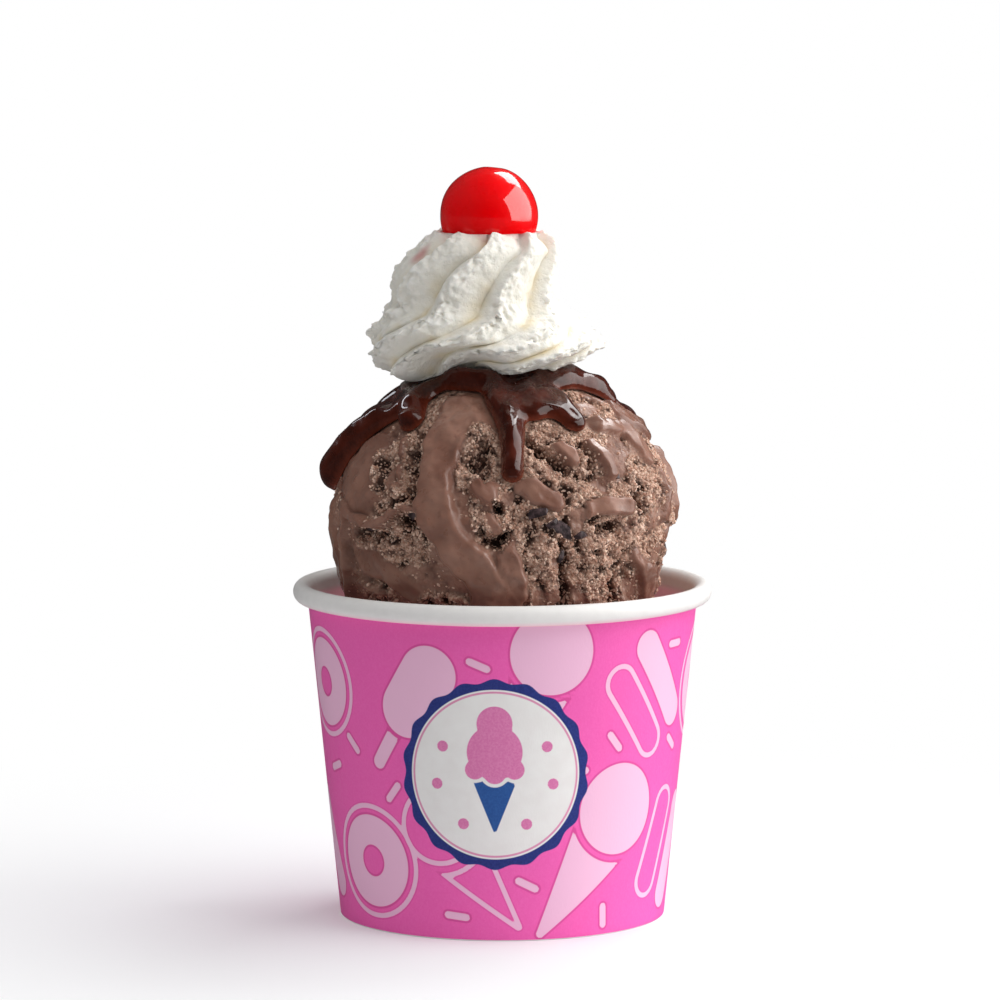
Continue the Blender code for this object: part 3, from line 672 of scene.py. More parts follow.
def chocolateFinish(name="chocolate_ice_cream", grain=False):
    finish = Finish(name, {
        "Roughness": 0.6, "IOR": 1.4, "Specular IOR Level": 0.45, "Coat Roughness": 0.16,
        "Subsurface Weight": 0.12, "Subsurface Radius": (1.0, 0.5, 0.35), "Subsurface Scale": 0.0012,
    })
    patches = finish.mottle(9.0, 3).ramp(0.3, 0.7)
    specks = finish.mottle(0.55, 3, 0.7).ramp(0.35, 0.75)
    crumb = finish.blend(specks, tint(182, 136, 115), tint(250, 216, 195))
    crumb = finish.blend(patches * 0.25, crumb, tint(176, 133, 112))
    # painted shade: dark brown painted between the crumb grains, where the grain bump below sinks
    painted_gap_shade = finish.grains(1.05).ramp(0.42, 0.78) * finish.mottle(2.4).ramp(0.35, 0.65)
    crumb = finish.blend(painted_gap_shade * 0.85, crumb, tint(66, 39, 30))
    if grain:
        light = finish.mottle(1.2).ramp(0.3, 0.7)
        finish.feed("Base Color", finish.blend(light, tint(178, 134, 114), tint(244, 211, 191)))
        finish.bump(finish.mottle(0.25, 2), 0.05)
        return finish.material
    melted = finish.blend(patches, tint(127, 88, 74), tint(154, 114, 98))
    melted = finish.blend(finish.mottle(1.2, 3).ramp(0.55, 0.8) * 0.4, melted, tint(104, 69, 57))
    melt, painted_pit_shade = finish.stored("melt"), finish.stored("painted_pit_shade")
    body = finish.blend(melt, crumb, melted)
    # painted shade: pits and hollows are painted dark brown
    body = finish.blend(painted_pit_shade.least(0.92), body, tint(48, 25, 19))
    finish.feed("Base Color", body)
    finish.feed("Roughness", (1 - melt) * 0.3 + finish.mottle(2.5).ramp(0.3, 0.8) * 0.14 + 0.27)
    finish.feed("Coat Weight", melt * finish.mottle(5.0, 2).ramp(0.35, 0.65) * 0.8)
    clods = (1 - finish.grains(1.05)) * 2.2 + (1 - finish.grains(0.5))
    height = clods * (1 - melt) + finish.mottle(0.3, 3, 0.7) * (1 - melt * 0.9) * 0.8
    finish.bump(height + finish.mottle(1.6, 2) * 0.4, 0.3, 1.0)
    return finish.material


def wallRadius(z, inset=0.0):
    slope = (cup["wallTopRadius"] - cup["footRadius"]) / cup["wallTopZ"]
    return cup["footRadius"] + slope * z - inset


def makeIceCream():
    columns = ice["columns"]
    azimuth = np.arange(columns) * 2 * math.pi / columns
    thetas = np.radians([
        *ice["coveredAngles"], *np.linspace(ice["bareAngle"], scoop["neckAngle"], ice["rings"]),
    ])
    around, down = np.meshgrid(azimuth, thetas)
    around, down = around.ravel(), down.ravel()
    plain = scoopPoint(around, down)
    lift, melt, painted_pit_shade, crumbly = iceRelief(plain, around)
    shown = scoopPoint(around, down, lift)
    neckRadius, neckZ = scoopSection(thetas[-1:])
    inset = cup["paper"] + ice["gap"]
    shoulderRadius = wallRadius(ice["shoulderZ"], inset)
    low = []
    for share in ice["neckTurns"]:
        turn = share * math.pi / 2
        radius = between(neckRadius[0], shoulderRadius, math.sin(turn) ** 1.2)
        low.append((radius, between(ice["shoulderZ"], neckZ[0], math.cos(turn))))
    middleZ = (ice["lowZ"] + ice["shoulderZ"]) / 2
    low += [
        (wallRadius(middleZ, inset), middleZ),
        (wallRadius(ice["lowZ"] + 2, inset), ice["lowZ"] + 2),
        (wallRadius(ice["lowZ"], ice["foldInset"]), ice["lowZ"]),
    ]
    lowPoints = np.vstack([turnTo(azimuth, radius, z) for radius, z in low])
    poles = np.array([[0, 0, scoop["middleZ"] + scoop["rise"]], [0, 0, ice["lowZ"]]])
    points = np.vstack([shown, lowPoints, poles])
    spare = len(lowPoints) + 2
    values = {
        "melt": np.pad(melt, (0, spare), constant_values=1),
        "painted_pit_shade": np.pad(painted_pit_shade, (0, spare)), "crumbly": np.pad(crumbly, (0, spare)),
    }
    faces = domeFaces(len(thetas) + len(low), columns)
    return makePiece("ice_cream_scoop", points, faces, [chocolateFinish()], values)


# Geometry Nodes: small lumps strewn over a surface where its stored value allows

def strewTree(name, subdivisions, rounded=False):
    group = bpy.data.node_groups.new(name, "GeometryNodeTree")
    sockets = {
        "Geometry": "Geometry", "Per square metre": "Float", "Smallest": "Float", "Largest": "Float",
        "Lift": "Float", "Roughen": "Float", "Where": "String", "Seed": "Int", "Finish": "Material",
    }
    for label, kind in sockets.items():
        group.interface.new_socket(name=label, in_out="INPUT", socket_type="NodeSocket" + kind)
    group.interface.new_socket(name="Geometry", in_out="OUTPUT", socket_type="NodeSocketGeometry")
    maker = NodeMaker(group)
    given = group.nodes.new("NodeGroupInput")

    def wanted(label):
        return Signal(maker, given.outputs[label])

    def scaled(vector, by):
        return maker.node("ShaderNodeVectorMath", {"operation": "SCALE"}, {0: vector, "Scale": by})

    def drawn(low, high, seed):
        inputs = {0: (low,) * 3, 1: (high,) * 3, "Seed": seed}
        return maker.node("FunctionNodeRandomValue", {"data_type": "FLOAT_VECTOR"}, inputs)

    mask = maker.node("GeometryNodeInputNamedAttribute", {"data_type": "FLOAT"}, {"Name": wanted("Where")})
    spread = maker.node("GeometryNodeDistributePointsOnFaces", None, {
        "Mesh": wanted("Geometry"), "Density": mask * wanted("Per square metre"), "Seed": wanted("Seed"),
    })
    outward = scaled(Signal(maker, spread.socket.node.outputs["Normal"]), wanted("Lift"))
    lifted = maker.node("GeometryNodeSetPosition", None, {"Geometry": spread, "Offset": outward})
    ball = maker.node("GeometryNodeMeshIcoSphere", None, {"Radius": 1.0, "Subdivisions": subdivisions})
    span = {2: wanted("Smallest"), 3: wanted("Largest"), "Seed": 5}
    size = maker.node("FunctionNodeRandomValue", {"data_type": "FLOAT"}, span, 1)
    placed = maker.node("GeometryNodeInstanceOnPoints", None, {
        "Points": lifted, "Instance": ball, "Rotation": drawn(0.0, 6.28, 3),
        "Scale": scaled(drawn(0.65, 1.25, 8), size),
    })
    real = maker.node("GeometryNodeRealizeInstances", None, {"Geometry": placed})
    ripple = maker.node("ShaderNodeTexNoise", None, {
        "Vector": maker.node("GeometryNodeInputPosition"), "Scale": 1800.0, "Detail": 1.0,
    }, 1)
    centred = maker.node("ShaderNodeVectorMath", {"operation": "SUBTRACT"}, {0: ripple, 1: (0.5, 0.5, 0.5)})
    moved = scaled(centred, wanted("Roughen"))
    rough = maker.node("GeometryNodeSetPosition", None, {"Geometry": real, "Offset": moved})
    smooth = maker.node("GeometryNodeSetShadeSmooth", None, {"Geometry": rough, "Shade Smooth": rounded})
    done = maker.node("GeometryNodeSetMaterial", None, {"Geometry": smooth, "Material": wanted("Finish")})
    group.links.new(done.socket, group.nodes.new("NodeGroupOutput").inputs[0])
    return group


def strewn(name, ground, group, settings, finish):
    # the lumps as a plain mesh of their own
    carrier = added(name + "_ground", ground.data)
    modifier = carrier.modifiers.new("Strew", "NODES")
    modifier.node_group = group
    given = {**settings, "Finish": finish}
    for item in group.interface.items_tree:
        if item.in_out == "INPUT" and item.name in given:
            modifier[item.identifier] = given[item.name]
    bpy.context.view_layer.update()
    graph = bpy.context.evaluated_depsgraph_get()
    mesh = bpy.data.meshes.new_from_object(carrier.evaluated_get(graph))
    mesh.name = name
    carrier.modifiers.remove(modifier)
    bpy.data.objects.remove(carrier, do_unlink=True)
    return added(name, mesh)


# sizes here and in the sauce's bubbles are in metres, as the node tree takes them
crumbs = {
    "fine": {
        "Per square metre": 1.3e6, "Smallest": 0.12 * mm, "Largest": 0.33 * mm, "Lift": 0.05 * mm,
        "Roughen": 0.3 * mm, "Where": "crumbly", "Seed": 11,
    },
    "coarse": {
        "Per square metre": 0.5e6, "Smallest": 0.2 * mm, "Largest": 0.5 * mm, "Lift": -0.08 * mm,
        "Roughen": 0.7 * mm, "Where": "crumbly", "Seed": 23,
    },
}


# Chocolate chips: azimuth, height, length, width and turn of the ones in front, then scattered ones

chips = {
    "shown": (
        (12, 86.6, 4.2, 1.9, -14), (20, 83.0, 4.4, 2.8, 34), (16.5, 84.2, 2.6, 1.8, -40),
        (27, 82.0, 3.0, 1.6, -12), (-50, 81.6, 2.4, 1.2, 10), (-31, 84.6, 2.4, 1.6, -25),
        (44, 92.6, 1.6, 1.0, 15), (21, 78.4, 1.2, 2.6, 5),
    ),
    "scattered": 16,
    "spans": ((70, 275), (66, 98), (1.4, 3.0), (1.0, 1.8), (0, 180)),
    "seed": 5,
    "out": 0.25,
    "thickness": 1.2,
    "corners": 16,
}


def chipFinish():
    finish = Finish("dark_chocolate_chip", {"Roughness": 0.35, "IOR": 1.5})
    body = finish.blend(finish.mottle(0.9, 3).ramp(0.35, 0.7), tint(44, 32, 34), tint(92, 74, 76))
    finish.feed("Base Color", body)
    finish.feed("Roughness", finish.mottle(0.6).ramp(0.3, 0.8) * 0.3 + 0.28)
    finish.bump(finish.mottle(0.4, 3), 0.12)
    return finish.material


def makeChips(ground):
    draw = random.Random(chips["seed"])
    places = list(chips["shown"])
    while len(places) < len(chips["shown"]) + chips["scattered"]:
        places.append([draw.uniform(*span) for span in chips["spans"]])
    tops = np.array([vertex.co for vertex in ground.data.vertices]) / mm
    shape = bmesh.new()
    for azimuth, z, length, width, turn in places:
        middle = scoopPoint(np.radians(azimuth), thetaAt(np.array(z)))
        nearest = tops[np.argmin(((tops - middle) ** 2).sum(axis=1))]
        out = scoopPoint(np.radians(azimuth), thetaAt(np.array(z)), 1.0) - middle
        middle = Vector((nearest + out * chips["out"]).tolist())
        out = Vector(out.tolist())
        side = out.cross(Vector((0, 0, 1))).normalized()
        up = side.cross(out).normalized()
        cosine, sine = turnOf(turn)
        along, over = side * cosine + up * sine, up * cosine - side * sine
        corners = []
        for i in range(chips["corners"]):
            a, b, c = (draw.uniform(-1, 1) for axis in range(3))
            longest = max(abs(a), abs(b), abs(c))
            place = middle + along * a / longest * length / 2 + over * b / longest * width / 2
            corners.append(shape.verts.new((place + out * c / longest * chips["thickness"] / 2) * mm))
        hull = bmesh.ops.convex_hull(shape, input=corners)
        spare = {item for item in hull["geom_interior"] + hull["geom_unused"]}
        loose = [item for item in spare if isinstance(item, bmesh.types.BMVert)]
        bmesh.ops.delete(shape, geom=loose, context="VERTS")
    mesh = bpy.data.meshes.new("chocolate_chips")
    shape.to_mesh(mesh)
    shape.free()
    mesh.materials.append(chipFinish())
    return added("chocolate_chips", mesh)


# Whipped cream: two tiers of spiral ridges round a slightly leaning axis

cherry = {
    "radius": 10.1,
    "centre": (-2.7, 0.0, 143.9),
    "segments": 128,
    "rings": 72,
}
cream = {
    "ridges": 9,
    "columnsPerRidge": 42,
    "bowl": (6, 72, 14),  # where the cherry sits: first and last angle, and rows
    "sideRows": 170,
    "underRadii": (15.5, 13.0, 10.0, 6.5, 3.0),
    "ridgeLean": (0.32, 0.14),
    "rest": 3.0,
    "waistZ": 124.5,
    "lowTwist": 92.0,
    "highTwist": 34.0,
    "twistHeight": 15,
    "lowDepth": 2.6,
    "highDepth": 3.6,
    "lipZ": 141.2,
    "lipDip": 2.2,
    "lowZ": 110.8,
    "edge": 0.2,
    "baseLift": 1.2,
    "baseTilt": 0.06,
    "baseWave": (-28.0, 26.0, 2.8),
    "baseTuck": 3.0,
    "side": (
        (11.2, 141.2), (13.4, 139.6), (15.4, 137.0), (16.8, 134.0), (17.5, 131.0), (17.8, 128.2),
        (18.1, 126.4), (19.4, 124.6), (21.6, 122.6), (23.2, 120.4), (24.4, 118.0), (24.3, 116.0),
        (23.1, 114.2), (20.6, 112.4), (17.0, 110.8),
    ),
    "tear": ((1.6, 0.95), (0.8, 0.58), (0.45, 0.24)),
    "softLumps": ((6.0, 0.75), (2.4, 0.34)),
    "strand": (0.34, 0.85),
    "stainPlace": (-17.5, -4.0, 137.8),
    "stainReach": 4.4,
}


def creamAxisX(z):
    # the axis leans to the left up the swirl and comes back under the cherry
    low = 1 - smoothStep(111, 116, z)
    return -2.9 - 1.7 * low - 2.7 * smoothStep(114, 129, z) + 2.9 * smoothStep(131, 140, z)


def restHeight(x, y):
    # height of the cream's underside, which lies on the sauce
    radius = np.hypot(x, y)
    theta = np.arcsin(np.clip(radius / (scoop["radius"] + cream["rest"]), 0, 1))
    return scoopSection(theta, cream["rest"])[1]


def creamTucked(ring, share):
    # the base drawn in where the sauce laps over it
    middle, spread, height = cream["baseWave"]
    pull = share * cream["baseTuck"] * windowAt(ring, middle, spread)
    outward = ring[:, :2] - (creamAxisX(cream["lowZ"]), 0.0)
    outward /= np.linalg.norm(outward, axis=1)[:, None]
    return np.column_stack([ring[:, :2] - outward * pull[:, None], ring[:, 2]])


def creamTwist(z):
    low = (np.minimum(z, cream["waistZ"]) - cream["waistZ"]) / cream["twistHeight"]
    high = np.maximum(z - cream["waistZ"], 0) / cream["twistHeight"]
    return np.radians(cream["lowTwist"] * low + cream["highTwist"] * high)


def ridgeDepth(turned, z):
    # 0 on the crest of a ridge and 1 in the crease beside it; the ridges lean to one side
    turns = (turned * cream["ridges"] / (2 * math.pi)) % 1.0
    lean = between(*cream["ridgeLean"], smoothStep(122, 132, z))
    rising = np.clip(1 - turns / lean, 0, 1) ** 1.1
    falling = (np.clip(turns - lean, 0, 1) / (1 - lean)) ** 1.25
    return np.where(turns < lean, rising, falling)


def creamFinish():
    finish = Finish("whipped_cream", {
        "Roughness": 0.5, "IOR": 1.38, "Specular IOR Level": 0.4,
        "Subsurface Weight": 0.22, "Subsurface Radius": (1.0, 0.85, 0.7), "Subsurface Scale": 0.0015,
    })
    crease, stain = finish.stored("crease"), finish.stored("stain")
    clouds = finish.mottle(5.0, 3).ramp(0.35, 0.7)
    body = finish.blend(clouds, tint(240, 237, 228), tint(248, 246, 240))
    # painted shade: lower places, where raised is small, are painted a greyer cream
    body = finish.blend(finish.stored("raised").ramp(0.1, 0.75), tint(236, 233, 224), body)
    # painted shade: the creases between ridges are painted a darker, yellower cream
    painted_crease_shade = crease * finish.mottle(6.0, 2).ramp(0.3, 0.7) * 0.8
    body = finish.blend(painted_crease_shade, body, tint(226, 206, 160))
    body = finish.blend(stain * 0.95, body, tint(196, 70, 74))
    finish.feed("Base Color", body)
    finish.feed("Roughness", finish.mottle(2.0).ramp(0.3, 0.7) * 0.2 + 0.38)
    bubbles = finish.grains(0.7).ramp(0.05, 0.35)
    finish.bump(finish.mottle(0.9, 4, 0.6) + bubbles * 0.3, 0.24, 0.8)
    return finish.material


def makeCream():
    columns = cream["ridges"] * cream["columnsPerRidge"]
    column = np.arange(columns) * 2 * math.pi / columns
    bowlRadius = cherry["radius"] + ice["gap"]
    rows = [
        (bowlRadius * math.sin(turn), cherry["centre"][2] - bowlRadius * math.cos(turn), "bowl")
        for turn in np.radians(np.linspace(*cream["bowl"]))
    ]
    rows += [(radius, z, "side") for radius, z in smoothLine(cream["side"], cream["sideRows"])]
    rows += [(radius, 0.0, "under") for radius in cream["underRadii"]]
    points, creases, folds = [], [], []
    for radius, z, kind in rows:
        crease = np.zeros(columns)
        if kind == "under":
            ring = turnTo(column + creamTwist(cream["lowZ"]), radius, 0.0)
            ring[:, 0] += creamAxisX(cream["lowZ"])
            ring = creamTucked(ring, smoothStep(5, 13, radius))
            ring[:, 2] = restHeight(ring[:, 0], ring[:, 1])
        elif kind == "bowl":
            ring = turnTo(column + creamTwist(cream["lipZ"]), radius, z)
            ring[:, 0] += cherry["centre"][0]
        else:
            crease = ridgeDepth(column, z)
            depth = between(cream["lowDepth"], cream["highDepth"], smoothStep(120, 132, z))
            lip = smoothStep(134, cream["lipZ"], z)
            uneven = 1 + 0.22 * np.sin(np.floor(column * cream["ridges"] / (2 * math.pi)) * 2.4 + z / 4.5)
            carved = radius - depth * uneven * crease * between(1.0, 0.35, lip)
            ring = turnTo(column + creamTwist(z), carved, z - lip * cream["lipDip"] * crease)
            ring[:, 0] += creamAxisX(z)
            base = 1 - smoothStep(113, 121, z)
            ring[:, 2] += base * np.maximum(cream["baseLift"] + cream["baseTilt"] * ring[:, 0], 0)
            middle, spread, height = cream["baseWave"]
            ring[:, 2] += base * height * windowAt(ring, middle, spread)
            ring = creamTucked(ring, base)
        points.append(ring)
        creases.append(crease)
        folds.append(np.full(columns, 1.0 if kind == "side" else 0.0))
    points, crease, fold = np.vstack(points), np.concatenate(creases), np.concatenate(folds)
    x, y, z = points.T
    out = np.stack([x - creamAxisX(z), y, 0 * z], axis=-1)
    out /= np.maximum(np.linalg.norm(out, axis=1), 1e-6)[:, None]
    crest = fold * (1 - crease) ** 3
    inner = fold * smoothStep(cream["lowZ"], cream["lowZ"] + 2.5, z)
    torn = sum(depth * noiseAt(points, size, 3.0 + size) for size, depth in cream["tear"])
    soft = sum(depth * noiseAt(points, size, 1.0 + size) for size, depth in cream["softLumps"])
    pitch, depth = cream["strand"]
    low = 1 - 0.75 * smoothStep(123, 128, z)
    strands = np.tile(column, len(rows)) * cream["ridges"] / (2 * math.pi) / pitch
    strands = np.stack([strands, z / 11.0, 0 * z], axis=-1)
    strands = depth * low * (0.3 - 1.7 * np.abs(noiseAt(strands, 1.0, 2.0)))
    ragged = 1 - 0.5 * smoothStep(124, 130, z)
    soft *= ragged
    torn = torn * ragged * (0.16 + 1.3 * crest)
    push = inner * (torn - 0.2 * crest + soft + strands * (1 - crest))
    points = points + out * push[:, None]
    points[:, 2] += inner * ragged * (crest * 0.8 * noiseAt(points, 1.4, 5.0))
    floorHeight = restHeight(points[:, 0], points[:, 1])
    points[:, 2] = np.where(fold > 0, np.maximum(points[:, 2], floorHeight + cream["edge"]), points[:, 2])
    toCherry = np.linalg.norm(points - np.array(cherry["centre"]), axis=1) - cherry["radius"]
    nearCherry = np.exp(-np.clip(toCherry, 0, None) / 1.3) * (0.35 + noiseAt(points, 3.0, 6.0))
    toStain = np.linalg.norm(points - np.array(cream["stainPlace"]), axis=1)
    blot = 1 - smoothStep(0.3, 1.0, toStain / cream["stainReach"])
    stain = np.clip(np.maximum(nearCherry, blot * smoothStep(0.2, 0.6, crease)), 0, 1)
    lowX = creamAxisX(cream["lowZ"])
    poles = np.array([
        [cherry["centre"][0], 0, cherry["centre"][2] - bowlRadius], [lowX, 0, restHeight(lowX, 0.0)],
    ])
    # raised and crease only mask painted shade: lower places and creases are painted darker in creamFinish
    raised = smoothStep(-0.9, 0.9, push + 0.6 * torn) * (1 - 0.5 * crease)
    shown = {"crease": crease**3 * fold, "stain": stain, "raised": raised}
    values = {label: np.pad(numbers, (0, len(poles))) for label, numbers in shown.items()}
    faces = domeFaces(len(rows), columns)
    return makePiece("whipped_cream_swirl", np.vstack([points, poles]), faces, [creamFinish()], values)


# Cherry

def cherryFinish():
    finish = Finish("candied_cherry", {
        "Roughness": 0.2, "IOR": 1.45, "Specular IOR Level": 0.08,
        "Coat Roughness": 0.03, "Coat IOR": 1.85,
        "Subsurface Weight": 0.45, "Subsurface Radius": (1.0, 0.05, 0.03), "Subsurface Scale": 0.004,
    })
    body = finish.blend(finish.mottle(5.0, 3).ramp(0.3, 0.75), tint(244, 0, 6), tint(255, 0, 10))
    finish.feed("Base Color", body)
    height = finish.part(2)
    finish.feed("Coat Weight", (height + (finish.mottle(4.0) - 0.5) * 0.006).ramp(0.1405, 0.1445))
    finish.feed("Roughness", finish.mottle(3.0).ramp(0.3, 0.8) * 0.08 + 0.26)
    finish.bump(finish.mottle(3.0, 2) + finish.mottle(1.1, 1) * 0.12, 0.34, 0.6)
    return finish.material


def makeCherry():
    columns, rings = cherry["segments"], cherry["rings"]
    azimuth = np.arange(columns) * 2 * math.pi / columns
    polar = np.linspace(0, math.pi, rings + 2)[1:-1]
    around, down = np.meshgrid(azimuth, polar)
    around, down = around.ravel(), down.ravel()
    ball = turnTo(around, np.sin(down), np.cos(down))
    ball = np.vstack([ball, [[0, 0, 1], [0, 0, -1]]])
    radius = cherry["radius"] * (1 - 0.02 * np.clip(noiseAt(ball, 0.9, 3.0) + 0.35, 0, 1))
    radius *= 1 - 0.03 * np.exp(-(((ball - (0.12, 0.1, 0.98)) ** 2).sum(axis=1)) / 0.02)
    points = ball * radius[:, None] + np.array(cherry["centre"])
    return makePiece("cherry_on_top", points, domeFaces(rings, columns), [cherryFinish()])


# Paper cup

cup = {
    "columns": 400,
    "wallRows": 104,
    "footRadius": 33.4,
    "wallTopRadius": 39.85,
    "wallTopZ": 64.0,
    "paper": 0.6,
    "rimCentre": (41.2, 66.9),
    "rimHalfSize": (1.8, 2.0),
    "rimTurn": (180, -125),
    "rimPoints": 30,
    "footEdge": 0.25,
    "foldDepth": 2.2,
    "foldHeight": 5.2,
    "foldPly": 0.5,
    "slotFloorZ": 0.9,
    "seamAzimuth": 172.0,
    "seamRise": 0.2,
    "seamWidth": 8.0,
}
badge = {
    "azimuth": -2.4,
    "z": 34.4,
    "radius": 19.2,
    "scallops": 18,
    "scallopDepth": 0.4,
    "band": 1.8,
    "dotTurns": (-100, -62, 62, 100, 148, -148),
    "dotRing": 12.0,
    "dotRadius": 1.15,
}
printWork = {
    "rows": ((49.0, 10.0), (15.5, -9.0)),
    "perRow": 9,
    "motifSize": 1.0,
    "sprinkles": 260,
    "sprinkleSize": (1.9, 0.75),
    "sprinkleGap": 5.2,
    "sprinkleHeights": (2.5, 61.5),
    "sprinkleClear": 0.8,
    "meanRadius": 37,
    "gap": 0.9,
    "lineHalfWidth": 0.5,
    "rimWidth": 0.45,
    "rimSoftness": 0.12,
    "seed": 9,
}


def wallSteps(z, inset=0.0):
    return (wallRadius(z, inset), z)


def sleeveProfile():
    # a closed loop of points, and whether the strip below each is the printed wall
    (middle, height), (wide, high) = cup["rimCentre"], cup["rimHalfSize"]
    rim = [
        (middle + wide * math.cos(turn), height + high * math.sin(turn))
        for turn in np.radians(np.linspace(*cup["rimTurn"], cup["rimPoints"]))
    ]
    top = cup["wallTopZ"] + cup["paper"]
    wall = [wallSteps(z) for z in np.linspace(top, cup["footEdge"], cup["wallRows"])]
    slot = cup["foldDepth"] - cup["foldPly"]
    edge, fold = cup["footEdge"], cup["foldDepth"]
    foot = [wallSteps(z, inset) for z, inset in (
        (0.0, edge), (0.0, fold - edge), (edge, fold), (cup["foldHeight"], fold), (cup["foldHeight"], slot),
        (cup["slotFloorZ"], slot), (cup["slotFloorZ"], cup["paper"]),
        (cup["wallTopZ"] / 2, cup["paper"]), (cup["wallTopZ"], cup["paper"]),
    )]
    printed = [False] * len(rim) + [True] * len(wall) + [False] * len(foot)
    return np.array(rim + wall + foot), np.array(printed)


def turned(x, y, turn):
    cosine, sine = turnOf(turn)
    return x * cosine + y * sine, y * cosine - x * sine


def taper(x, y, length, lowRadius, topRadius):
    # distance outside a round ended bar along y
    share = np.clip(y / length + 0.5, 0, 1)
    return np.hypot(x, y - (share - 0.5) * length) - between(lowRadius, topRadius, share)


def cornet(x, y, size):
    # a cone and the ball on it, a little apart
    ball = np.hypot(x, y - 0.42 * size) - 0.33 * size
    cone = taper(x, y + 0.22 * size, 0.8 * size, 0.03 * size, 0.26 * size)
    cone = np.maximum(cone, y - 0.26 * size)
    return np.minimum(ball, np.maximum(cone, 0.06 * size - ball))


def icePop(x, y, length):
    # a rounded bar and its stick
    bar = taper(x, y - 3.0, length * 0.55, 6.0, 6.0)
    stick = taper(x, y + length * 0.72, length * 0.5, 1.5, 1.5)
    return np.minimum(bar, np.maximum(stick, 0.9 - bar))


def motifFields(azimuth, z, draw):
    # distances outside the pale shapes, the pale lines and the outlines' whole shapes
    fill, line, whole = (np.full(len(z), 50.0) for kind in range(3))
    step = 360 / printWork["perRow"]
    for rowIndex, (height, offset) in enumerate(printWork["rows"]):
        for i in range(printWork["perRow"]):
            around = math.radians(i * step + offset + draw.uniform(-2, 2))
            x = aroundWall(azimuth, z, around)
            x, y = turned(x, z - height - draw.uniform(-1.2, 1.2), draw.choice((-34, -18, 22, 38)))
            kind = (i * 2 + rowIndex * 3) % 5
            size = printWork["motifSize"] * draw.uniform(0.95, 1.06)
            half = printWork["lineHalfWidth"]
            if kind == 0:
                fill = np.minimum(fill, cornet(x, y, 27.0 * size))
            elif kind == 1:
                fill = np.minimum(fill, icePop(x, y, 15.0 * size))
            elif kind == 2:
                fill = np.minimum(fill, taper(x - 5.0, y, 17.0 * size, 3.4, 3.4))
                outer = taper(x + 4.6, y, 15.0 * size, 3.4, 3.4)
                line, whole = np.minimum(line, np.abs(outer) - half), np.minimum(whole, outer)
            elif kind == 3:
                outer = cornet(x, y, 26.0 * size)
                line, whole = np.minimum(line, np.abs(outer + half) - half), np.minimum(whole, outer)
            else:
                away = np.hypot(x, y)
                fill = np.minimum(fill, np.maximum(away - 9.2 * size, 3.2 * size - away))
                outer = away - 11.0 * size
                line, whole = np.minimum(line, np.abs(outer) - half), np.minimum(whole, outer)
    return fill, np.maximum(line, printWork["gap"] - fill), whole


def aroundWall(azimuth, z, middle):
    # distance along the wall from a place, to the right
    return ((azimuth - middle + math.pi) % (2 * math.pi) - math.pi) * wallRadius(z)


def sprinkleField(azimuth, z, draw):
    # short pale strokes where the motifs leave room
    count, (length, half) = printWork["sprinkles"], printWork["sprinkleSize"]
    around = np.array([draw.uniform(-math.pi, math.pi) for i in range(count)])
    height = np.array([draw.uniform(*printWork["sprinkleHeights"]) for i in range(count)])
    shapes = np.min(motifFields(around, height, random.Random(printWork["seed"])), axis=0)
    field, kept = np.full(len(z), 50.0), []
    for i in np.nonzero(shapes > length + half + printWork["sprinkleClear"])[0]:
        tilt = draw.uniform(0, 180)
        place = (around[i] * printWork["meanRadius"], height[i])
        if any(math.dist(place, other) < printWork["sprinkleGap"] for other in kept):
            continue
        kept.append(place)
        x, y = turned(aroundWall(azimuth, z, around[i]), z - height[i], tilt)
        field = np.minimum(field, taper(x, y, 2 * length, half, half))
    return field


def printFields(azimuth, z):
    # distances outside the pale shapes, the pale lines and the badge's own shapes
    fill, line, whole = motifFields(azimuth, z, random.Random(printWork["seed"]))
    fill = np.minimum(fill, sprinkleField(azimuth, z, random.Random(printWork["seed"] + 1)))
    x = aroundWall(azimuth, z, math.radians(badge["azimuth"]))
    y = z - badge["z"]
    away, angle = np.hypot(x, y), np.arctan2(x, y)
    patch = away - badge["radius"] - badge["scallopDepth"] * np.cos(badge["scallops"] * angle)
    face = away - (badge["radius"] - badge["band"])
    ball = np.minimum(np.hypot(x, y - 4.6) - 5.6, np.hypot(x, y - 10.4) - 3.6)
    lip = np.minimum(np.hypot(x + 4.0, y - 1.0) - 2.0, np.hypot(x - 4.0, y - 1.0) - 2.0)
    lip = np.minimum(lip, np.hypot(x, y - 0.4) - 2.3)
    cone = np.maximum(taper(x, y + 5.6, 11.6, 0.4, 5.0), y + 0.4)
    cone = np.maximum(cone, 0.7 - np.minimum(ball, lip))
    dots = np.full(len(z), 50.0)
    for turn in badge["dotTurns"]:
        cosine, sine = turnOf(turn)
        apart = np.hypot(x - badge["dotRing"] * sine, y - badge["dotRing"] * cosine)
        dots = np.minimum(dots, apart - badge["dotRadius"])
    pink = np.minimum(np.minimum(ball, lip), dots)
    return {"printFill": fill, "printLine": line, "badgePatch": patch, "badgeFace": face,
            "badgeBlue": cone, "badgePink": pink}


def paperGrain(finish):
    fibres = finish.mottle(0.32, 3, 0.6, (1.0, 1.0, 0.35))
    return fibres + finish.mottle(7.0, 2) * 0.1


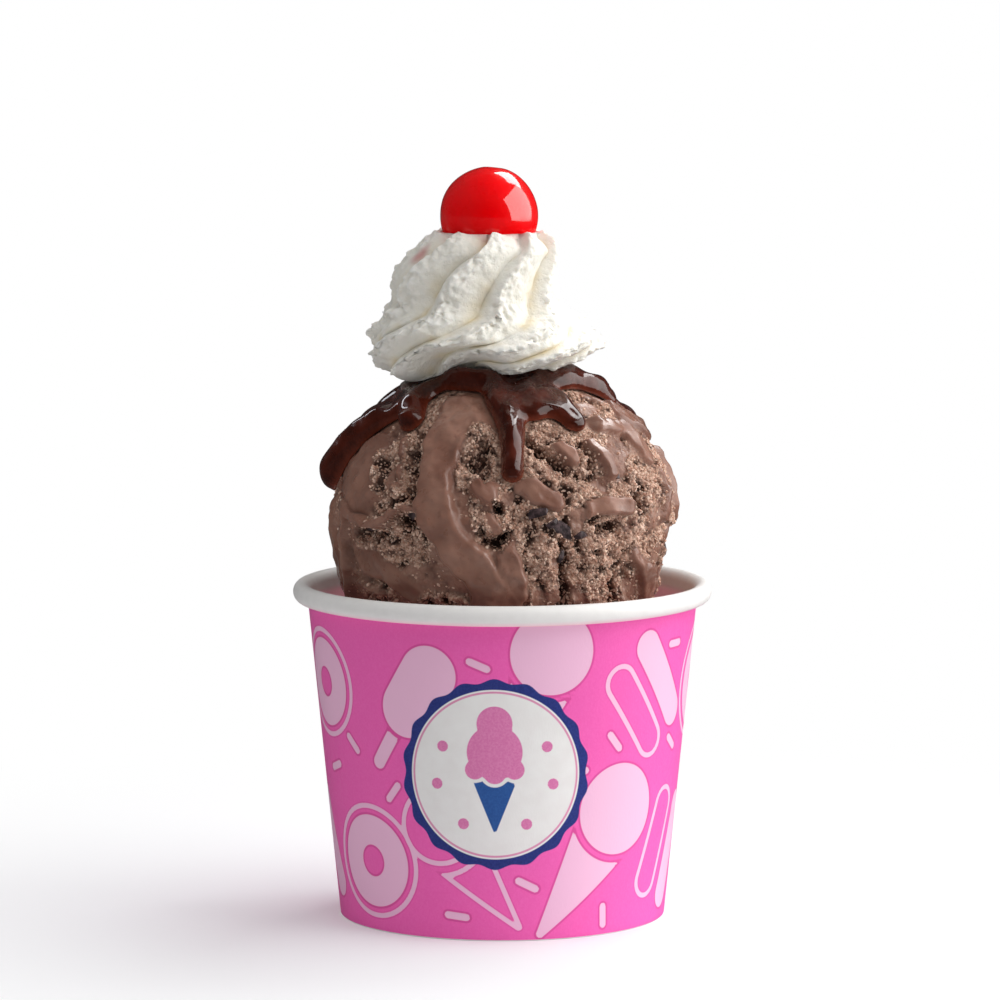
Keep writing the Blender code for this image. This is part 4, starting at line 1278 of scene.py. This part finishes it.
def printedFinish():
    finish = Finish("printed_pink_paper", {
        "Roughness": 0.42, "IOR": 1.45, "Specular IOR Level": 0.45, "Coat Weight": 0.2,
        "Coat Roughness": 0.35,
    })

    def within(label, soft=0.09):
        return 1 - finish.stored(label).ramp(-soft, soft)

    fill, line = within("printFill"), within("printLine")
    rim, soft = printWork["rimWidth"], printWork["rimSoftness"]
    fillEdge = 1 - finish.stored("printFill").ramp(rim - soft, rim + soft)
    lineEdge = 1 - (finish.stored("printLine") - 0.18).size().ramp(0.05, 0.2)
    ink = finish.mottle(0.45, 2, 0.6).ramp(0.3, 0.75)
    ground = finish.blend(ink, tint(252, 96, 186), tint(255, 104, 192))
    deeper = finish.blend((lineEdge * 0.4).most(fillEdge * 0.7), ground, tint(226, 66, 152))
    body = finish.blend(fill.most(line), deeper, tint(250, 196, 227))
    patch, face = within("badgePatch"), within("badgeFace")
    blue, pink = within("badgeBlue"), within("badgePink")
    hairline = 1 - (finish.stored("badgeFace") + 0.55).size().ramp(0.12, 0.3)
    navy = finish.blend(ink, tint(32, 48, 128), tint(42, 60, 146))
    paper = finish.blend(finish.mottle(3.0).ramp(0.3, 0.7), tint(243, 241, 239), tint(246, 245, 243))
    body = finish.blend(patch, body, navy)
    body = finish.blend(face, body, paper)
    body = finish.blend(face * hairline * 0.8, body, tint(224, 110, 170))
    body = finish.blend(face * blue, body, finish.blend(ink, tint(30, 84, 160), tint(38, 96, 172)))
    body = finish.blend(face * pink, body, finish.blend(ink, tint(226, 120, 178), tint(234, 138, 190)))
    finish.feed("Base Color", body)
    finish.feed("Roughness", finish.mottle(1.2).ramp(0.3, 0.8) * 0.12 + 0.38)
    finish.bump(paperGrain(finish), 0.05, 0.7)
    return finish.material


def whitePaperFinish():
    finish = Finish("white_coated_paper", {
        "Roughness": 0.38, "IOR": 1.45, "Coat Weight": 0.1, "Coat Roughness": 0.25,
        "Emission Strength": 0.07,
    })
    body = finish.blend(finish.mottle(2.4, 3).ramp(0.3, 0.7), tint(241, 239, 237), tint(245, 243, 241))
    # painted light: the white inner wall gets a pink tint and a faint pink glow (the emission above), standing
    # in for light through the pink print and pink bounce light
    height = finish.part(2)
    inside = height.ramp(0.012, 0.02) * (1 - height.ramp(0.064, 0.066))
    body = finish.blend(inside * 0.9, body, tint(255, 190, 204))
    finish.feed("Base Color", body)
    finish.feed("Emission Color", finish.blend(inside, tint(0, 0, 0), tint(255, 178, 196)))
    finish.feed("Roughness", finish.mottle(1.0).ramp(0.3, 0.8) * 0.12 + 0.34)
    finish.bump(paperGrain(finish), 0.05, 0.6)
    return finish.material


def makeSleeve(whitePaper):
    profile, printed = sleeveProfile()
    columns, rows = cup["columns"], len(profile)
    azimuth = np.arange(columns) * 2 * math.pi / columns
    around = np.tile(azimuth, rows)
    radius, z = np.repeat(profile[:, 0], columns), np.repeat(profile[:, 1], columns)
    outer = np.repeat(printed, columns)
    past = (np.degrees(around) - cup["seamAzimuth"]) % 360
    overlap = smoothStep(0, 0.8, past) * (1 - smoothStep(2, cup["seamWidth"] * 1.9, past))
    radius = radius + cup["seamRise"] * overlap * outer * smoothStep(0.4, 1.5, z)
    points = turnTo(around, radius, z)
    signed = np.where(around > math.pi, around - 2 * math.pi, around)
    faces = gridFaces(rows, columns, closedRows=True)
    slots = np.repeat(np.where(printed & np.roll(printed, -1), 0, 1), columns)
    finishes, fields = [printedFinish(), whitePaper], printFields(signed, z)
    return makePiece("paper_cup_sleeve", points, faces.tolist(), finishes, fields, slots)


# Floor, lights and camera

studio = {
    "aim": (0.0, 0.0, 0.1),
    "floorHalf": 4.0,
    "whiteFrom": 0.05,
    "whiteFull": 0.22,
    "floorGlow": 0.165,
    "floorBounce": 0.62,
    "mirroredLoss": 0.9,
    "wallGlow": {"base": 0.04, "back": 0.2, "right": 0.25, "left": 0.2, "up": 0.3},
}
# each light's place, size, power, colour, and whether gloss shows it
lights = {
    "key_softbox": ((0.60, -0.04, 0.35), (0.86, 0.7), 5.1, (1.0, 0.99, 0.97), True),
    "top_softbox": ((0.27, 0.36, 0.62), (0.36, 0.3), 2.0, (1.0, 1.0, 1.0), True),
    "overhead": ((0.12, -0.28, 0.62), (0.4, 0.4), 0.95, (1.0, 1.0, 1.0), False),
    "left_fill": ((-0.55, -0.35, 0.30), (0.5, 0.5), 0.12, (0.93, 0.94, 1.0), False),
    "left_sparkle": ((-0.46, 0.34, 0.52), (0.1, 0.34), 0.85, (0.9, 0.93, 1.0), True),
}
view = {
    "place": (-0.000479, -1.1, 0.20732),
    "pitch": 6.3185,
    "lens": 194.10,
    "sensor": 36.0,
}


def makeLight(name, place, size, power, color, mirrored):
    data = bpy.data.lights.new(name, "AREA")
    data.shape = "RECTANGLE"
    data.size, data.size_y = size
    data.energy, data.color = power, color
    lamp = added(name, data)
    lamp.location = place
    toAim = Vector(studio["aim"]) - Vector(place)
    lamp.rotation_euler = toAim.to_track_quat("-Z", "Y").to_euler()
    lamp.visible_glossy = mirrored
    return lamp


def makeFloor():
    finish = Finish("pale_floor", {
        "Roughness": 0.9, "Base Color": tint(230, 230, 233),
        "Emission Color": (1.0, 1.0, 1.0, 1.0), "Emission Strength": studio["floorGlow"],
    })
    where = finish.place()
    flat = finish.node("ShaderNodeVectorMath", {"operation": "LENGTH"}, {0: where}, "Value")
    seen = finish.node("ShaderNodeLightPath", output="Is Camera Ray")
    mirrored = finish.node("ShaderNodeLightPath", output="Is Glossy Ray")
    white = flat.ramp(studio["whiteFrom"], studio["whiteFull"]).most(mirrored)
    share = studio["floorBounce"]
    bounce = seen * (1 - share) + share - mirrored * share * studio["mirroredLoss"]
    glow = finish.node("ShaderNodeEmission", None, {"Color": (1.0, 1.0, 1.0, 1.0), "Strength": bounce})
    shaded = Signal(finish, finish.shader.outputs[0])
    mixed = finish.node("ShaderNodeMixShader", None, {0: white, 1: shaded, 2: glow})
    finish.tree.links.new(mixed.socket, finish.tree.nodes["Material Output"].inputs["Surface"])
    bpy.ops.mesh.primitive_plane_add(size=2 * studio["floorHalf"], location=(0, 0, 0))
    floor = bpy.context.object
    floor.name = "studio_floor"
    floor.data.materials.append(finish.material)


def makeStudio():
    makeFloor()
    lamps = {name: makeLight(name, *values) for name, values in lights.items()}
    lit = bpy.data.collections.new("sparkle_lights")  # the pieces that the sparkle reaches
    lamps["left_sparkle"].light_linking.receiver_collection = lit
    world = bpy.data.worlds.new("studio_walls")
    world.use_nodes = True
    bpy.context.scene.world = world
    maker = NodeMaker(world.node_tree)
    direction = maker.node("ShaderNodeTexCoord", output="Generated")
    split = world.node_tree.nodes.new("ShaderNodeSeparateXYZ")
    world.node_tree.links.new(direction.socket, split.inputs[0])
    right, back, up = (Signal(maker, output) for output in split.outputs)
    glow = studio["wallGlow"]
    light = back.ramp(0.0, 0.9) * glow["back"] + right.ramp(0.1, 0.9) * glow["right"]
    light = light + (0.0 - right).ramp(0.1, 0.9) * glow["left"]
    light = light + up.ramp(0.1, 0.9) * glow["up"] + glow["base"]
    mirrored = maker.node("ShaderNodeLightPath", output="Is Glossy Ray")
    light = light * (1 - mirrored * studio["mirroredLoss"])
    seen = maker.node("ShaderNodeLightPath", output="Is Camera Ray")
    strength = light + seen * (1.0 - light)
    ground = world.node_tree.nodes["Background"]
    ground.inputs["Color"].default_value = (1.0, 1.0, 1.0, 1.0)
    world.node_tree.links.new(strength.socket, ground.inputs["Strength"])
    bpy.context.scene.view_settings.view_transform = "Standard"
    bpy.context.scene.view_settings.look = "None"
    return lit


def makeCamera():
    data = bpy.data.cameras.new("photo_camera")
    data.lens = view["lens"]
    data.sensor_width = view["sensor"]
    data.clip_start, data.clip_end = 0.05, 30.0
    camera = added("photo_camera", data)
    camera.location = view["place"]
    camera.rotation_euler = (math.radians(90 - view["pitch"]), 0.0, 0.0)
    bpy.context.scene.camera = camera


def corners(box):
    return [list(corner) for corner in box]


makeCamera()
sparkled = makeStudio()
print("studio ready")

whitePaper = whitePaperFinish()
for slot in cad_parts["cup_floor"].material_slots:
    slot.material = whitePaper
dress(makeSleeve(whitePaper), "cup_paper", "cup_sleeve")
print("paper cup done")

scoopPiece = makeIceCream()
grainFinish = chocolateFinish("chocolate_crumbs", grain=True)
loosePieces = [
    strewn(kind + "_crumbs", scoopPiece, strewTree("strew_" + kind, 1), crumbs[kind], grainFinish)
    for kind in ("fine", "coarse")
]
loosePieces.append(makeChips(scoopPiece))
dress(scoopPiece, "chocolate_ice_cream", "ice_cream")
for piece in loosePieces:
    dress(piece, "chocolate_ice_cream")
print("ice cream done")

saucePiece = makeSauce()
bubbleTree = strewTree("strew_bubbles", 2, True)
bubbles = strewn("sauce_bubbles", saucePiece, bubbleTree, sauce["bubbles"], saucePiece.data.materials[0])
dress(saucePiece, "fudge_sauce", "fudge_sauce")
dress(bubbles, "fudge_sauce")
sparkled.objects.link(saucePiece)
print("sauce done")

dress(makeCream(), "whipped_cream", "whipped_cream")
dress(makeCherry(), "cherry", "cherry")
print("cream and cherry done")
